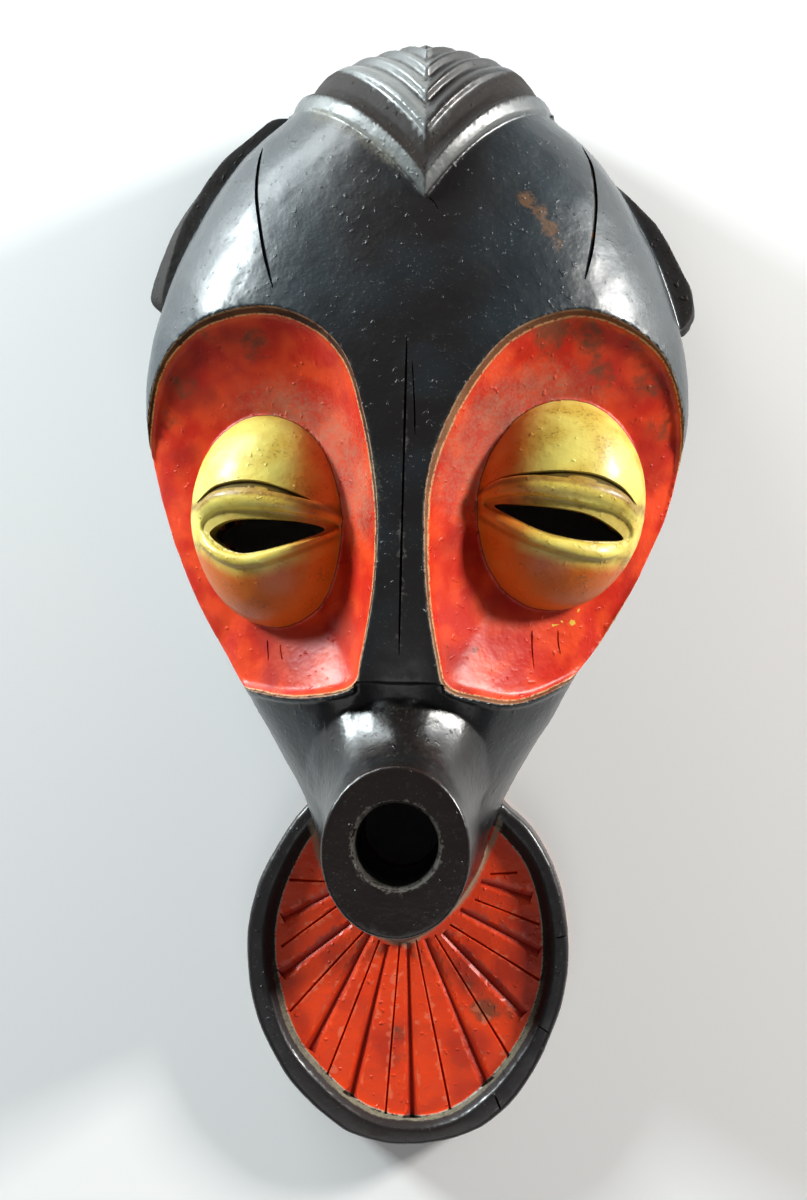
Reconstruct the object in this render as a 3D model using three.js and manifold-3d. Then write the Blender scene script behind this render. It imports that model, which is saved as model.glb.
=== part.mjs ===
// A painted terracotta mask that lies on its back, 400 mm long: a domed face with two scooped red
// sockets and half-closed yellow eyes, a tubular mouth, a chevron hair crest and a fan-cut beard.
// Millimetres. X is to the right as the face is seen, Y runs toward the crown, Z comes out of the face.
// The back rim lies on z = 0. The whole mask is one hollow shell of fired clay.
import * as THREE from "three";
import { mergeVertices } from "three/addons/utils/BufferGeometryUtils.js";
import Module from "manifold-3d";

const wasm = await Module();
wasm.setup();

// Driving dimensions
const FACE_HEIGHT = 98; // the nose ridge above the back rim
const FACE_CENTRE = [0, 40];
const BROW_WALL = 46; // straight side wall at the brow, before the face rounds over
const CHIN_WALL = 16;
const WALL = 9.5; // clay thickness
const ABOVE = 150; // a height clear of everything
const TOLERANCE = 0.02; // edges shorter than this are closed up when pieces are joined
const SMOOTHING = 0.05; // vertices nearer to a flat than this are left out of the finished shell

const BROW = [[22, 186.3], [35, 179.5], [48.5, 168.5], [57, 161.5], [64.5, 153.5], [71.5, 143.5],
  [78.5, 131.5], [85, 118.5], [90, 104.5], [93.8, 91], [96, 74], [95.6, 60]];
const JAW = [[92.6, 46], [88.3, 29], [80.3, 10.5], [73, -3.5], [66, -15], [58.5, -25.5], [51, -40],
  [41, -57.5], [33.5, -72], [25.5, -92], [16, -109], [5, -120], [-4, -122.5], [-13, -120], [-24, -108],
  [-32, -91], [-38.5, -73], [-47.5, -55.5], [-55, -41], [-61.5, -28], [-69, -15.5], [-76, -3.5],
  [-84, 15], [-88.8, 29], [-92.8, 45]];
const CROWN = [0, 191];

const SOCKETS = [
  {
    eye: [-48, 26.5], eyeSize: [28.5, 37.3, 25], eyeTurn: 7, gaze: [-48, 21.5],
    outline: [[-50, 97.7], [-70.7, 94.1], [-85.2, 83.3], [-92, 68.4], [-94.6, 48], [-90.4, 24.7],
      [-82.5, 5.5], [-72, -15.5], [-61.5, -30.4], [-50.5, -33.4], [-35.6, -34.3], [-17.5, -30.4],
      [-13.6, -20], [-9.8, 2], [-8.8, 22.6], [-10, 40], [-13.9, 60.6], [-20.8, 80.6], [-33, 92.5]],
    slit: [[-68, 21.2], [-63.5, 24.8], [-56.8, 26.3], [-46.5, 26.3], [-36.3, 25.6], [-28.4, 23.3],
      [-36.2, 19.4], [-42.9, 17.2], [-49.7, 15.4], [-56.5, 14.6], [-63, 16.8]],
    recess: [[-71.5, 23.4], [-67, 28.2], [-60, 29.6], [-46.5, 29.3], [-35, 28], [-23.8, 25], [-28, 21.6],
      [-36.2, 18.6], [-49.7, 14.6], [-57, 13.8], [-65, 16.5]],
    upperLid: [[-72.2, 27.5], [-66.5, 31.8], [-59, 33.2], [-47, 32.6], [-38, 30.8], [-30, 28.6],
      [-23, 26.4]],
    lowerLid: [[-71.6, 20], [-65, 15], [-57, 12.2], [-49, 12.9], [-41.5, 15.6], [-33, 19.2], [-23.6, 23.6]],
    crease: [[-73, 32], [-66, 36.6], [-57, 38.4], [-49, 38], [-40, 35.4], [-31, 31.6]],
  },
  {
    eye: [50.6, 34], eyeSize: [30.5, 36.8, 25], eyeTurn: -7, gaze: [51, 27],
    outline: [[55.2, 97.8], [35.4, 90], [20.9, 73.5], [11.4, 54.4], [7.2, 38], [6.8, 20], [8.1, -0.2],
      [11.3, -19.4], [14.6, -29.8], [25.9, -33.5], [38, -34.8], [51.5, -30], [61.5, -22.8], [74, -3],
      [83, 13.5], [90.5, 33], [94, 54], [92.2, 71.5], [85.4, 85.5], [72, 94.6]],
    slit: [[29.3, 32.4], [38.1, 32.8], [51.5, 31.7], [62, 29.6], [70.1, 25.3], [73.1, 21.7], [65.1, 20.9],
      [58.4, 21.1], [51.7, 22.3], [44.9, 24.2], [37, 27.8]],
    recess: [[25.3, 33.4], [38, 36.1], [51.4, 35], [61.5, 33], [71, 30.4], [76.4, 25.4], [74.5, 20.6],
      [65.1, 19.8], [51.7, 21.2], [44.9, 23.2], [33, 28.8]],
    upperLid: [[24.2, 34.9], [31, 37.9], [42, 39.4], [54, 38.8], [64, 36.8], [72, 33.9], [77.6, 28.6]],
    lowerLid: [[24.4, 31], [31, 27], [39.5, 22.9], [49, 19.6], [58.5, 17.6], [66, 16.8], [72, 17.8]],
    crease: [[25.6, 38], [33, 41.2], [45, 43], [55, 43.4], [64, 42.2], [72, 38.6], [77.6, 33.6]],
  },
];
const SOCKET_FLOOR = 60; // round the eye
const SOCKET_LEDGE = 43; // lowest floor, at the outer side
const SOCKET_BLEND = 4; // how softly the floor's edge changes height
const SOCKET_SWING = 2; // how far that edge may stand above its neighbours' mean
const SOCKET_CURVE = 2.2;
const SOCKET_BEVEL = 3;
const EYE_CENTRE_HEIGHT = 61;
const UPPER_LID = [[-3.2, -3], [3, -3], [3, -0.6], [-3, 1.5]]; // [across, above the eye] corners
const LOWER_LID = [[-2.2, -3], [2, -3], [2, 1.5], [-2, 0.9]];
const CREASE = { halfWidth: 1.4, depth: 1.3 };
const RECESS_DEPTH = 2.2;

const NOSE_STEP = 8; // drop from the nose foot to the muzzle
const RIM_STEP = 1.8; // the same step under the socket rims
const NOSE_FOOT = [14, 30]; // where the one step changes into the other, either side of the nose
const MUZZLE = [[-76, -12], [-62, -32.6], [-50.5, -35.2], [-35.6, -36.1], [-17.5, -32.2], [-15.6, -28.2],
  [0, -28], [12.8, -28.2], [14.6, -31.6], [25.9, -35.3], [38, -36.6], [51.5, -31.8], [61.5, -24.6],
  [76, -4], [100, -40], [90, -110], [0, -170], [-90, -110], [-100, -40]];
const MUZZLE_CENTRE = [0, -90];

const MOUTH = { centre: [0.4, -82.3], halfWidth: 24.4, halfHeight: 28, height: 112, lean: 0.04 };
// Profiles of the tube above and below, as shares: of its reach outwards, and of its way down to its foot
const FLARE_UP = [[0, 0], [0.05, 0.19], [0.13, 0.41], [0.28, 0.6], [0.49, 0.76], [0.74, 0.89], [1, 1]];
const FLARE_DOWN = [[0, 0], [0.05, 0.08], [0.14, 0.21], [0.27, 0.4], [0.44, 0.63], [0.64, 0.81], [1, 1]];
const FLARE_REACH = { up: 21.5, down: 14.8 };
const FLARE_FOOT = 15; // level of the foot on the beard
const FLARE_SUNK = 0.6; // how deep the foot lies under the muzzle
const MUZZLE_LEVEL = 80; // about where the flare meets the muzzle
const TUBE_BOTTOM = 5; // the tube's lower end, inside the clay
const BORE = [[0.5, -80.2, 14.4, ABOVE], [0.5, -80.2, 14.4, 113], [0.5, -80.2, 13.7, 110],
  [-0.6, -80.3, 13.3, 80], [-1.5, -80.4, 13, 40]];

const CREST_COLUMNS = [-47, -42, -34, -25, -16, -8, 0, 8, 16, 25, 34, 42, 47];
const CREST_TIP = 134.5;
const CREST_RISE = 36.5; // from the tip of the V to its ends
const CREST_LEAN = 4.4; // the keel's tip stands this far to the right
const CREST_STRAIGHT = 88; // along the keel, where the lean has gone
const CREST_DEPTH = 5; // sunk into the head
const CREST_PROFILE = [[0, -1.5], [0.4, 1.5], [7, 4.6], [8.2, 2.8], [13.5, 2.2], [26, 5.6]];
const RIDGE_PITCH = 11.4;
const RIDGE_COUNT = 9;
const RIDGE_HEIGHTS = [5.4, 9.4]; // on the front and at the back of the crown
const RIDGE_GROWTH = [72, 108]; // along the keel, where the one changes into the other
const RIDGE_DEPTH = 2.8;
const RIDGE_TREAD = 0.7; // share of the pitch before the riser

const FIN_LEVELS = [12, 33, 43]; // back, widest and front face of a fin
const FIN_LEFT = {
  wide: [[-47, 171.6], [-54.5, 170.8], [-61, 167.2], [-69, 160.4], [-76, 153], [-84, 142.5], [-90.5, 131.5],
    [-95.4, 119.5], [-98.5, 108.5], [-96, 104]],
  front: [[-47, 172], [-53.3, 171.2], [-58.5, 167.4], [-66.5, 160.7], [-72.4, 155], [-79.5, 144.5],
    [-84.5, 135.5], [-88.1, 126], [-92.5, 106.7], [-90, 103.2]],
};
const FIN_RIGHT = {
  wide: [[58, 157], [63.2, 154.2], [69, 149.8], [76.4, 143.5], [83.8, 136.1], [89.2, 128.3], [94, 119.5],
    [97.6, 112.3], [98.5, 103], [96, 99]],
  front: [[58, 156], [62.6, 153.4], [68.2, 149.2], [75.6, 142.9], [83, 135.5], [88.2, 127.7], [92.8, 119],
    [96.3, 112], [97.3, 103.6], [93.5, 97.6]],
};
const FIN_ROOT = [-14, -8]; // how far a fin's root lies inside the head, from its outer edge

const BEARD = {
  outline: [[33.3, -73.6], [44.1, -83.6], [53.6, -100.9], [58.2, -123.4], [56.6, -145.1], [47.8, -169.1],
    [36.2, -186], [20, -196.6], [-1.5, -200.5], [-16, -198.4], [-26.5, -193.6], [-41, -181],
    [-51.5, -165.5], [-58, -148.7], [-60.4, -125.5], [-57, -106.6], [-48.7, -89.4], [-39.7, -76.6],
    [-24, -62], [0, -56], [22, -60]],
  field: [[32.3, -79.1], [45.4, -94.2], [52, -115], [52.5, -137.9], [46, -159.5], [33, -178.6],
    [17, -191.4], [-0.3, -194.6], [-17, -190.6], [-32, -179.5], [-45.7, -163.1], [-53.4, -138.5],
    [-54, -119], [-49, -101], [-38.1, -82.4], [-20, -70], [0, -66], [18, -68]],
  centre: [-1, -132], rim: 17, floor: 12, round: 1.6, slope: 0.925,
};
const FAN_CUTS = [
  [[-48, -119], [-29.5, -109]], [[-48, -140], [-22.5, -120]], [[-37, -167.5], [-15, -123.5]],
  [[-21, -184.5], [-8.5, -127.5]], [[2, -192.5], [-1, -126.5]], [[29.5, -178], [5.5, -125]],
  [[42.5, -152], [12, -122.5]], [[48, -128.5], [18, -114]], [[44.5, -108.5], [25.5, -103.5]],
];
const FAN_CUT = { halfWidth: 1.8, depth: 2.2 };
const FAN_NARROW = 0.45; // size of a cut's inner end

const BROW_CUTS = [
  [[-54.3, 156.8], [-54.8, 148.1], [-54.4, 138.1], [-52.3, 126.6], [-49.8, 115.6], [-46.3, 103.8]],
  [[57, 159.3], [60.5, 150.6], [61.9, 138.4], [61.6, 128.8], [60.6, 119.4], [58.4, 108.5]],
  [[-0.3, 87.4], [-0.4, 50], [-0.9, -18.6]],
];
const BROW_CUT = { halfWidth: 0.9, depth: 1.8 };

const HEAD_STEPS = 64;
const FACE_RINGS = [0.24, 0.44, 0.6, 0.74, 0.85, 0.93, 0.98, 1];
const HOLLOW_STEPS = 44;
const HOLLOW_RINGS = [0.22, 0.42, 0.6, 0.75, 0.87, 0.95, 1];
const HOLLOW_CENTRE = [0, 20];

// Shape helpers
const TURN = 2 * Math.PI;
const smoothstep = (from, to, value) => THREE.MathUtils.smoothstep(value, from, to);
const mix = THREE.MathUtils.lerp;
const fullTurn = (angle) => THREE.MathUtils.euclideanModulo(angle, TURN);

function circle([cx, cy], radius, z, steps) {
  return Array.from({ length: steps }, (_, k) => {
    const angle = (TURN * k) / steps;
    return [cx + radius * Math.cos(angle), cy + radius * Math.sin(angle), z];
  });
}

function closedCurve(points, count) {
  const places = points.map(([x, y]) => new THREE.Vector3(x, y, 0));
  const curve = new THREE.CatmullRomCurve3(places, true, "catmullrom", 0.5);
  return Array.from({ length: count }, (_, i) => curve.getPoint(i / count)).map((p) => [p.x, p.y]);
}

function openCurve(points, count) {
  const curve = new THREE.SplineCurve(points.map(([x, y]) => new THREE.Vector2(x, y)));
  return curve.getPoints(count).map((p) => [p.x, p.y]);
}

// A function that says how far out a place lies between a centre (0) and a closed outline round it (1)
function reach(outline, [cx, cy]) {
  const polar = ([x, y]) => [Math.atan2(y - cy, x - cx), Math.hypot(x - cx, y - cy)];
  const fine = closedCurve(outline, 720).map(polar).sort((a, b) => a[0] - b[0]);
  const radius = (angle) => {
    let after = fine.findIndex(([a]) => a > angle);
    if (after < 0) after = 0;
    const [a1, r1] = fine[after];
    const [a0, r0] = fine[(after + fine.length - 1) % fine.length];
    const span = fullTurn(a1 - a0);
    return mix(r0, r1, span > 0 ? fullTurn(angle - a0) / span : 0);
  };
  return (x, y) => Math.hypot(x - cx, y - cy) / radius(Math.atan2(y - cy, x - cx));
}

function offsetLoop(points, distance) {
  return points.map(([x, y], i) => {
    const [ax, ay] = points[(i + points.length - 1) % points.length];
    const [bx, by] = points[(i + 1) % points.length];
    const length = Math.hypot(bx - ax, by - ay);
    return [x + ((by - ay) / length) * distance, y - ((bx - ax) / length) * distance];
  });
}

const clockwise = (points) => points.reduce((sum, [x, y], i) => {
  const [nx, ny] = points[(i + 1) % points.length];
  return sum + x * ny - nx * y;
}, 0) < 0;

const anticlockwise = (points) => (clockwise(points) ? [...points].reverse() : points);

function toSolid(geometry) {
  geometry.deleteAttribute("normal");
  geometry.deleteAttribute("uv");
  const { attributes, index } = mergeVertices(geometry, 1e-4);
  return new wasm.Manifold(new wasm.Mesh({
    numProp: 3,
    vertProperties: new Float32Array(attributes.position.array),
    triVerts: new Uint32Array(index.array),
    tolerance: TOLERANCE,
  }));
}

function solid(positions, triangles) {
  const geometry = new THREE.BufferGeometry();
  geometry.setAttribute("position", new THREE.Float32BufferAttribute(positions.flat(), 3));
  geometry.setIndex(triangles.flat());
  return toSolid(geometry);
}

// A body between two height fields over a region that is star-shaped round its centre
function slab(outline, [cx, cy], rings, low, high) {
  const loop = anticlockwise(outline);
  const positions = [];
  const triangles = [];
  const sheet = (height, upward) => {
    const level = typeof height === "number";
    const at = (x, y, s) => positions.push([x, y, level ? height : height(x, y, s)]) - 1;
    const middle = at(cx, cy, 0);
    const ring = (s) => loop.map(([x, y]) => at(cx + (x - cx) * s, cy + (y - cy) * s, s));
    const loops = (level ? [1] : rings).map(ring);
    const face = (a, b, c) => triangles.push(upward ? [a, b, c] : [a, c, b]);
    loop.forEach((_, k) => {
      const next = (k + 1) % loop.length;
      face(middle, loops[0][k], loops[0][next]);
      for (let r = 1; r < loops.length; r += 1) {
        face(loops[r - 1][k], loops[r][k], loops[r][next]);
        face(loops[r - 1][k], loops[r][next], loops[r - 1][next]);
      }
    });
    return loops.at(-1);
  };
  const top = sheet(high, true);
  const bottom = sheet(low, false);
  top.forEach((_, k) => {
    const next = (k + 1) % top.length;
    triangles.push([bottom[k], bottom[next], top[next]], [bottom[k], top[next], top[k]]);
  });
  return solid(positions, triangles);
}

// A body through a row of closed sections of equal length, its ends closed by ladders
function loft(sections) {
  const count = sections[0].length;
  const positions = sections.flat();
  const triangles = [];
  for (let s = 0; s + 1 < sections.length; s += 1) {
    for (let k = 0; k < count; k += 1) {
      const [a, b] = [s * count + k, s * count + ((k + 1) % count)];
      triangles.push([a, b, b + count], [a, b + count, a + count]);
    }
  }
  const last = (sections.length - 1) * count;
  for (let i = 0, j = count - 1; i + 1 < j; i += 1, j -= 1) {
    triangles.push([i, j, i + 1], [last + i, last + i + 1, last + j]);
    if (i + 1 < j - 1) triangles.push([i + 1, j, j - 1], [last + i + 1, last + j - 1, last + j]);
  }
  const body = solid(positions, triangles);
  return body.volume() < 0 ? solid(positions, triangles.map(([a, b, c]) => [a, c, b])) : body;
}

// A strip laid along a path on a surface: section holds [sideways, height] corners, size scales them along
// the path
function ribbon(path, section, surface, size = () => 1) {
  return loft(path.map(([x, y], i) => {
    const [ax, ay] = path[Math.max(0, i - 1)];
    const [bx, by] = path[Math.min(path.length - 1, i + 1)];
    const length = Math.hypot(bx - ax, by - ay);
    const scale = size(i / (path.length - 1));
    return section.map(([u, h]) => {
      const px = x - ((by - ay) / length) * u * scale;
      const py = y + ((bx - ax) / length) * u * scale;
      return [px, py, surface(px, py) + h * (h > 0 ? 1 : scale)];
    });
  }));
}

// The section of a V cut, widened above the surface by its own slope
const notch = ({ halfWidth, depth }) => {
  const [wide, lip] = [halfWidth * 1.6, depth * 0.6];
  return [[-wide, lip], [0, -depth], [wide, lip]];
};
const tapered = (t) => 0.25 + 0.75 * Math.min(1, 4 * t, 4 * (1 - t));
const joined = (bodies) => bodies.reduce((sum, body) => sum.add(body));

// Head
const headPoints = [CROWN, ...BROW, ...JAW, ...BROW.map(([x, y]) => [-x, y]).reverse()];
const headOutline = closedCurve(headPoints, HEAD_STEPS);
const headReach = reach(headPoints, FACE_CENTRE);

function wallHeight(x, y) {
  const [dx, dy] = [x - FACE_CENTRE[0], y - FACE_CENTRE[1]];
  const direction = dy / Math.max(1e-6, Math.hypot(dx, dy));
  return mix(CHIN_WALL, BROW_WALL, smoothstep(-1.05, -0.7, direction));
}

function faceHeight(x, y) {
  const wall = wallHeight(x, y);
  return wall + (FACE_HEIGHT - wall) * Math.sqrt(Math.max(0, 1 - Math.min(1, headReach(x, y)) ** 2.6));
}

const head = slab(headOutline, FACE_CENTRE, FACE_RINGS, 0, faceHeight);

// Muzzle, stepped down from the nose foot and the socket rims
const muzzleReach = reach(MUZZLE, MUZZLE_CENTRE);
const muzzleStep = (x) => mix(NOSE_STEP, RIM_STEP, smoothstep(...NOSE_FOOT, Math.abs(x)));
const muzzleHeight = (x, y) => faceHeight(x, y) - muzzleStep(x);
const muzzleCut = slab(closedCurve(MUZZLE, 57), MUZZLE_CENTRE, [0.35, 0.6, 0.8, 1], muzzleHeight, ABOVE);

// Eye sockets
const softMax = (a, b) => (a + b + Math.hypot(a - b, SOCKET_BLEND)) / 2;
const softMin = (a, b) => -softMax(-a, -b);

function socketFloor({ eye: [ex, ey], outline }) {
  const share = reach(outline, [ex, ey]);
  const steps = 72;
  const rims = circle([ex, ey], 1, 0, steps).map(([x, y]) => {
    const [dx, dy] = [(x - ex) / share(x, y), (y - ey) / share(x, y)];
    return softMax(SOCKET_LEDGE, faceHeight(ex + dx, ey + dy) - SOCKET_BEVEL);
  });
  const edges = rims.map((rim, k) => {
    const near = [-5, -4, -3, -2, -1, 0, 1, 2, 3, 4, 5].map((j) => rims[(k + j + steps) % steps]);
    return softMin(rim, near.reduce((sum, value) => sum + value) / near.length + SOCKET_SWING);
  });
  return (x, y) => {
    const place = (fullTurn(Math.atan2(y - ey, x - ex)) / TURN) * steps;
    const k = Math.floor(place) % steps;
    const edge = mix(edges[k], edges[(k + 1) % steps], place % 1);
    return mix(SOCKET_FLOOR, edge, Math.min(1, share(x, y)) ** SOCKET_CURVE);
  };
}

function socketCut(socket) {
  const floor = socketFloor(socket);
  const rim = closedCurve(socket.outline, 44);
  const bevelRing = 0.955;
  return slab(rim, socket.eye, [0.5, 0.7, 0.85, bevelRing, 1],
    (x, y, s) => floor(x, y) + (s === 1 ? SOCKET_BEVEL : 0), ABOVE);
}

// Eyes: an egg set in the socket floor, cut by a recess and a slit between raised lids
function eyeHeight({ eye: [ex, ey], eyeSize: [a, b, c], eyeTurn }) {
  const turn = THREE.MathUtils.degToRad(eyeTurn);
  return (x, y) => {
    const u = (x - ex) * Math.cos(turn) + (y - ey) * Math.sin(turn);
    const v = -(x - ex) * Math.sin(turn) + (y - ey) * Math.cos(turn);
    return EYE_CENTRE_HEIGHT + c * Math.sqrt(Math.max(0, 1 - (u / a) ** 2 - (v / b) ** 2));
  };
}

function egg({ eye: [ex, ey], eyeSize: [a, b, c], eyeTurn }, shrink = 0) {
  const geometry = new THREE.SphereGeometry(1, 24, 14);
  geometry.rotateX(Math.PI / 2);
  geometry.scale(a - shrink, b - shrink, c - shrink);
  geometry.rotateZ(THREE.MathUtils.degToRad(eyeTurn));
  geometry.translate(ex, ey, EYE_CENTRE_HEIGHT);
  return toSolid(geometry);
}

function eyeWithLids(socket) {
  const height = eyeHeight(socket);
  const upper = ribbon(openCurve(socket.upperLid, 8), UPPER_LID, height, tapered);
  const lower = ribbon(openCurve(socket.lowerLid, 8), LOWER_LID, height, tapered);
  const crease = ribbon(openCurve(socket.crease, 8), notch(CREASE), height, tapered);
  const recessFloor = (x, y) => height(x, y) - RECESS_DEPTH;
  const recess = slab(closedCurve(socket.recess, 18), socket.gaze, [0.6, 1], recessFloor, ABOVE);
  return egg(socket).add(upper).add(lower).subtract(crease).subtract(recess);
}

// Tubular mouth, flared into the muzzle above and running down to the chin below
function mouthTube() {
  const [cx, cy] = MOUTH.centre;
  const steps = 40;
  const place = (angle, out, z) => [
    cx - MOUTH.lean * (MOUTH.height - z) + Math.cos(angle) * (MOUTH.halfWidth + out),
    cy + Math.sin(angle) * (MOUTH.halfHeight + out),
    z,
  ];
  const footLevel = (x, y) => {
    const offHead = smoothstep(0.93, 1, headReach(x, y));
    return mix(muzzleHeight(x, y) - FLARE_SUNK, FLARE_FOOT, offHead);
  };
  const columns = Array.from({ length: steps }, (_, k) => {
    const angle = (TURN * k) / steps;
    const upward = smoothstep(-0.25, 0.7, Math.sin(angle));
    const chinward = 0.5 + 0.5 * Math.sin(angle) ** 6;
    const wide = smoothstep(0.05, 1, Math.sin(angle));
    const reachOut = mix(FLARE_REACH.down * chinward, FLARE_REACH.up, wide);
    const [footX, footY] = place(angle, reachOut, mix(FLARE_FOOT, MUZZLE_LEVEL, upward));
    const drop = MOUTH.height - footLevel(footX, footY);
    const wall = FLARE_UP.map(([outUp, downUp], level) => {
      const [outDown, downDown] = FLARE_DOWN[level];
      const out = reachOut * mix(outDown, outUp, upward);
      return place(angle, out, MOUTH.height - drop * mix(downDown, downUp, upward));
    });
    return [...wall, place(angle, reachOut * 0.9, TUBE_BOTTOM)];
  });
  return loft(columns[0].map((_, level) => columns.map((column) => column[level])));
}

const bore = loft(BORE.map(([x, y, radius, z]) => circle([x, y], radius, z, 32)));

// Hair crest: shingled chevrons laid over the crown, from the V on the forehead to the back rim
const crown = closedCurve(headPoints, 720)
  .filter(([x, y]) => y > 150 && Math.abs(x) < 60)
  .sort((a, b) => a[0] - b[0]);

function crownEdge(x) {
  const after = crown.findIndex(([cx]) => cx > x);
  const [[x0, y0], [x1, y1]] = [crown[after - 1], crown[after]];
  return mix(y0, y1, (x - x0) / (x1 - x0));
}

// The head's profile at one x, as [y, z] places by length from the front of the crest
function crownPath(x) {
  const front = CREST_TIP + CREST_RISE * (1 - (1 - Math.abs(x) / 50) ** 1.9);
  const back = crownEdge(x) - 0.01;
  const places = Array.from({ length: 33 }, (_, i) => {
    const y = mix(front, back, Math.sin((i / 32) * (Math.PI / 2)));
    return [y, faceHeight(x, y)];
  });
  places.push([back, -130]);
  return (length) => {
    let left = length;
    for (let i = 1; i < places.length; i += 1) {
      const [[y0, z0], [y1, z1]] = [places[i - 1], places[i]];
      const step = Math.hypot(y1 - y0, z1 - z0);
      if (left <= step || i === places.length - 1) {
        const [ty, tz] = [(y1 - y0) / step, (z1 - z0) / step];
        return { y: y0 + ty * left, z: z0 + tz * left, out: [-tz, ty] };
      }
      left -= step;
    }
    return null;
  };
}

function crestRows() {
  const rows = [...CREST_PROFILE];
  for (let ridge = 0; ridge < RIDGE_COUNT; ridge += 1) {
    const peak = CREST_PROFILE.at(-1)[0] + RIDGE_PITCH * ridge;
    const height = mix(...RIDGE_HEIGHTS, smoothstep(...RIDGE_GROWTH, peak + RIDGE_PITCH));
    rows.push([peak + RIDGE_PITCH * RIDGE_TREAD, height - RIDGE_DEPTH], [peak + RIDGE_PITCH, height]);
  }
  return rows;
}

function crest() {
  const rows = crestRows();
  return loft(CREST_COLUMNS.map((x) => {
    const path = crownPath(x);
    const away = Math.abs(x) / CREST_COLUMNS.at(-1);
    const spot = (length, height) => {
      const { y, z, out } = path(length);
      const lean = CREST_LEAN * Math.max(0, 1 - (length / CREST_STRAIGHT) ** 2) * (1 - away);
      return [x + lean, y + out[0] * height, z + out[1] * height];
    };
    const outer = rows.map(([length, height]) => spot(length, height * (1 - 0.2 * away ** 2)));
    const inner = rows.map(([length]) => spot(length, -CREST_DEPTH));
    return [...outer, ...inner.reverse()];
  }));
}

// Fins beside the brow
function fin({ wide, front }) {
  const side = Math.sign(wide[0][0]);
  const root = wide.map(([x, y], i) => {
    const inset = i >= wide.length - 1 ? 4 : 0;
    return [x + side * FIN_ROOT[0], y + FIN_ROOT[1] + inset];
  }).reverse();
  const levels = [wide, wide, front];
  return loft(levels.map((outer, level) => [...outer, ...root].map(([x, y]) => [x, y, FIN_LEVELS[level]])));
}

// Beard plate: a raised rim round a sunk field with a fan of cuts
function beard() {
  const outline = anticlockwise(closedCurve(BEARD.outline, 48));
  const levels = [[0, 0], [0, BEARD.rim - BEARD.round], [-BEARD.round, BEARD.rim]];
  const plate = loft(levels.map(([out, z]) => offsetLoop(outline, out).map(([x, y]) => [x, y, z])));
  const field = slab(closedCurve(BEARD.field, 40), BEARD.centre, [0.5, BEARD.slope, 1],
    (x, y, s) => (s === 1 ? BEARD.rim : BEARD.floor), ABOVE);
  const cuts = FAN_CUTS.map(([outer, inner]) => ribbon([outer, inner], notch(FAN_CUT), () => BEARD.floor,
    (t) => mix(1, FAN_NARROW, t)));
  return plate.subtract(field).subtract(joined(cuts));
}

// Hollow back: the outer surface set inward by the wall thickness
const floors = SOCKETS.map((socket) => {
  const share = reach(socket.outline, socket.eye);
  const height = socketFloor(socket);
  return (x, y) => (share(x, y) < 1 ? height(x, y) : ABOVE);
});

function outerHeight(x, y) {
  const face = muzzleReach(x, y) < 1 ? muzzleHeight(x, y) : faceHeight(x, y);
  return Math.min(face, ...floors.map((floor) => floor(x, y)));
}

function roofHeight(x, y) {
  let lowest = outerHeight(x, y) - WALL;
  for (const share of [0.4, 0.7, 0.95]) {
    const drop = WALL * Math.sqrt(1 - share ** 2);
    const around = circle([x, y], WALL * share, 0, 12).map(([px, py]) => outerHeight(px, py) - drop);
    lowest = Math.min(lowest, ...around);
  }
  return lowest;
}

function hollow() {
  const inside = offsetLoop(anticlockwise(closedCurve(headPoints, HOLLOW_STEPS)), -WALL);
  const main = slab(inside, HOLLOW_CENTRE, HOLLOW_RINGS, -1, roofHeight);
  return joined([main, ...SOCKETS.map((socket) => egg(socket, WALL))]);
}

// One shell of clay
const belowRim = slab([[-200, -300], [200, -300], [200, 300], [-200, 300]], [0, 0], [1], -200, 0);
const browCuts = BROW_CUTS.map((points) => ribbon(openCurve(points, 10), notch(BROW_CUT), faceHeight, tapered));
const slits = SOCKETS.map(({ slit, gaze }) => slab(closedCurve(slit, 18), gaze, [1], 20, ABOVE));
const clay = head
  .subtract(muzzleCut)
  .subtract(joined(SOCKETS.map(socketCut)))
  .add(joined(SOCKETS.map(eyeWithLids)))
  .add(mouthTube())
  .add(joined([crest(), fin(FIN_LEFT), fin(FIN_RIGHT)]))
  .add(beard())
  .subtract(joined(browCuts))
  .subtract(hollow())
  .subtract(joined(slits))
  .subtract(bore)
  .subtract(belowRim)
  .simplify(SMOOTHING);

function toGeometry(body) {
  const { vertProperties, triVerts } = body.getMesh();
  const geometry = new THREE.BufferGeometry();
  geometry.setAttribute("position", new THREE.BufferAttribute(new Float32Array(vertProperties), 3));
  geometry.setIndex(new THREE.BufferAttribute(new Uint32Array(triVerts), 1));
  geometry.computeVertexNormals();
  return geometry;
}

// Where two skins graze each other a speck can stay sealed in the clay: the largest surface is the mask
const larger = (a, b) => (b.volume() > a.volume() ? b : a);
const shell = clay.decompose().reduce(larger);

const blackPaint = new THREE.MeshStandardMaterial({ color: 0x14191f, roughness: 0.3, metalness: 0 });
const mask = new THREE.Mesh(toGeometry(shell), blackPaint);
mask.name = "mask";

const model = new THREE.Group();
model.add(mask);

export default model;
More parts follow.
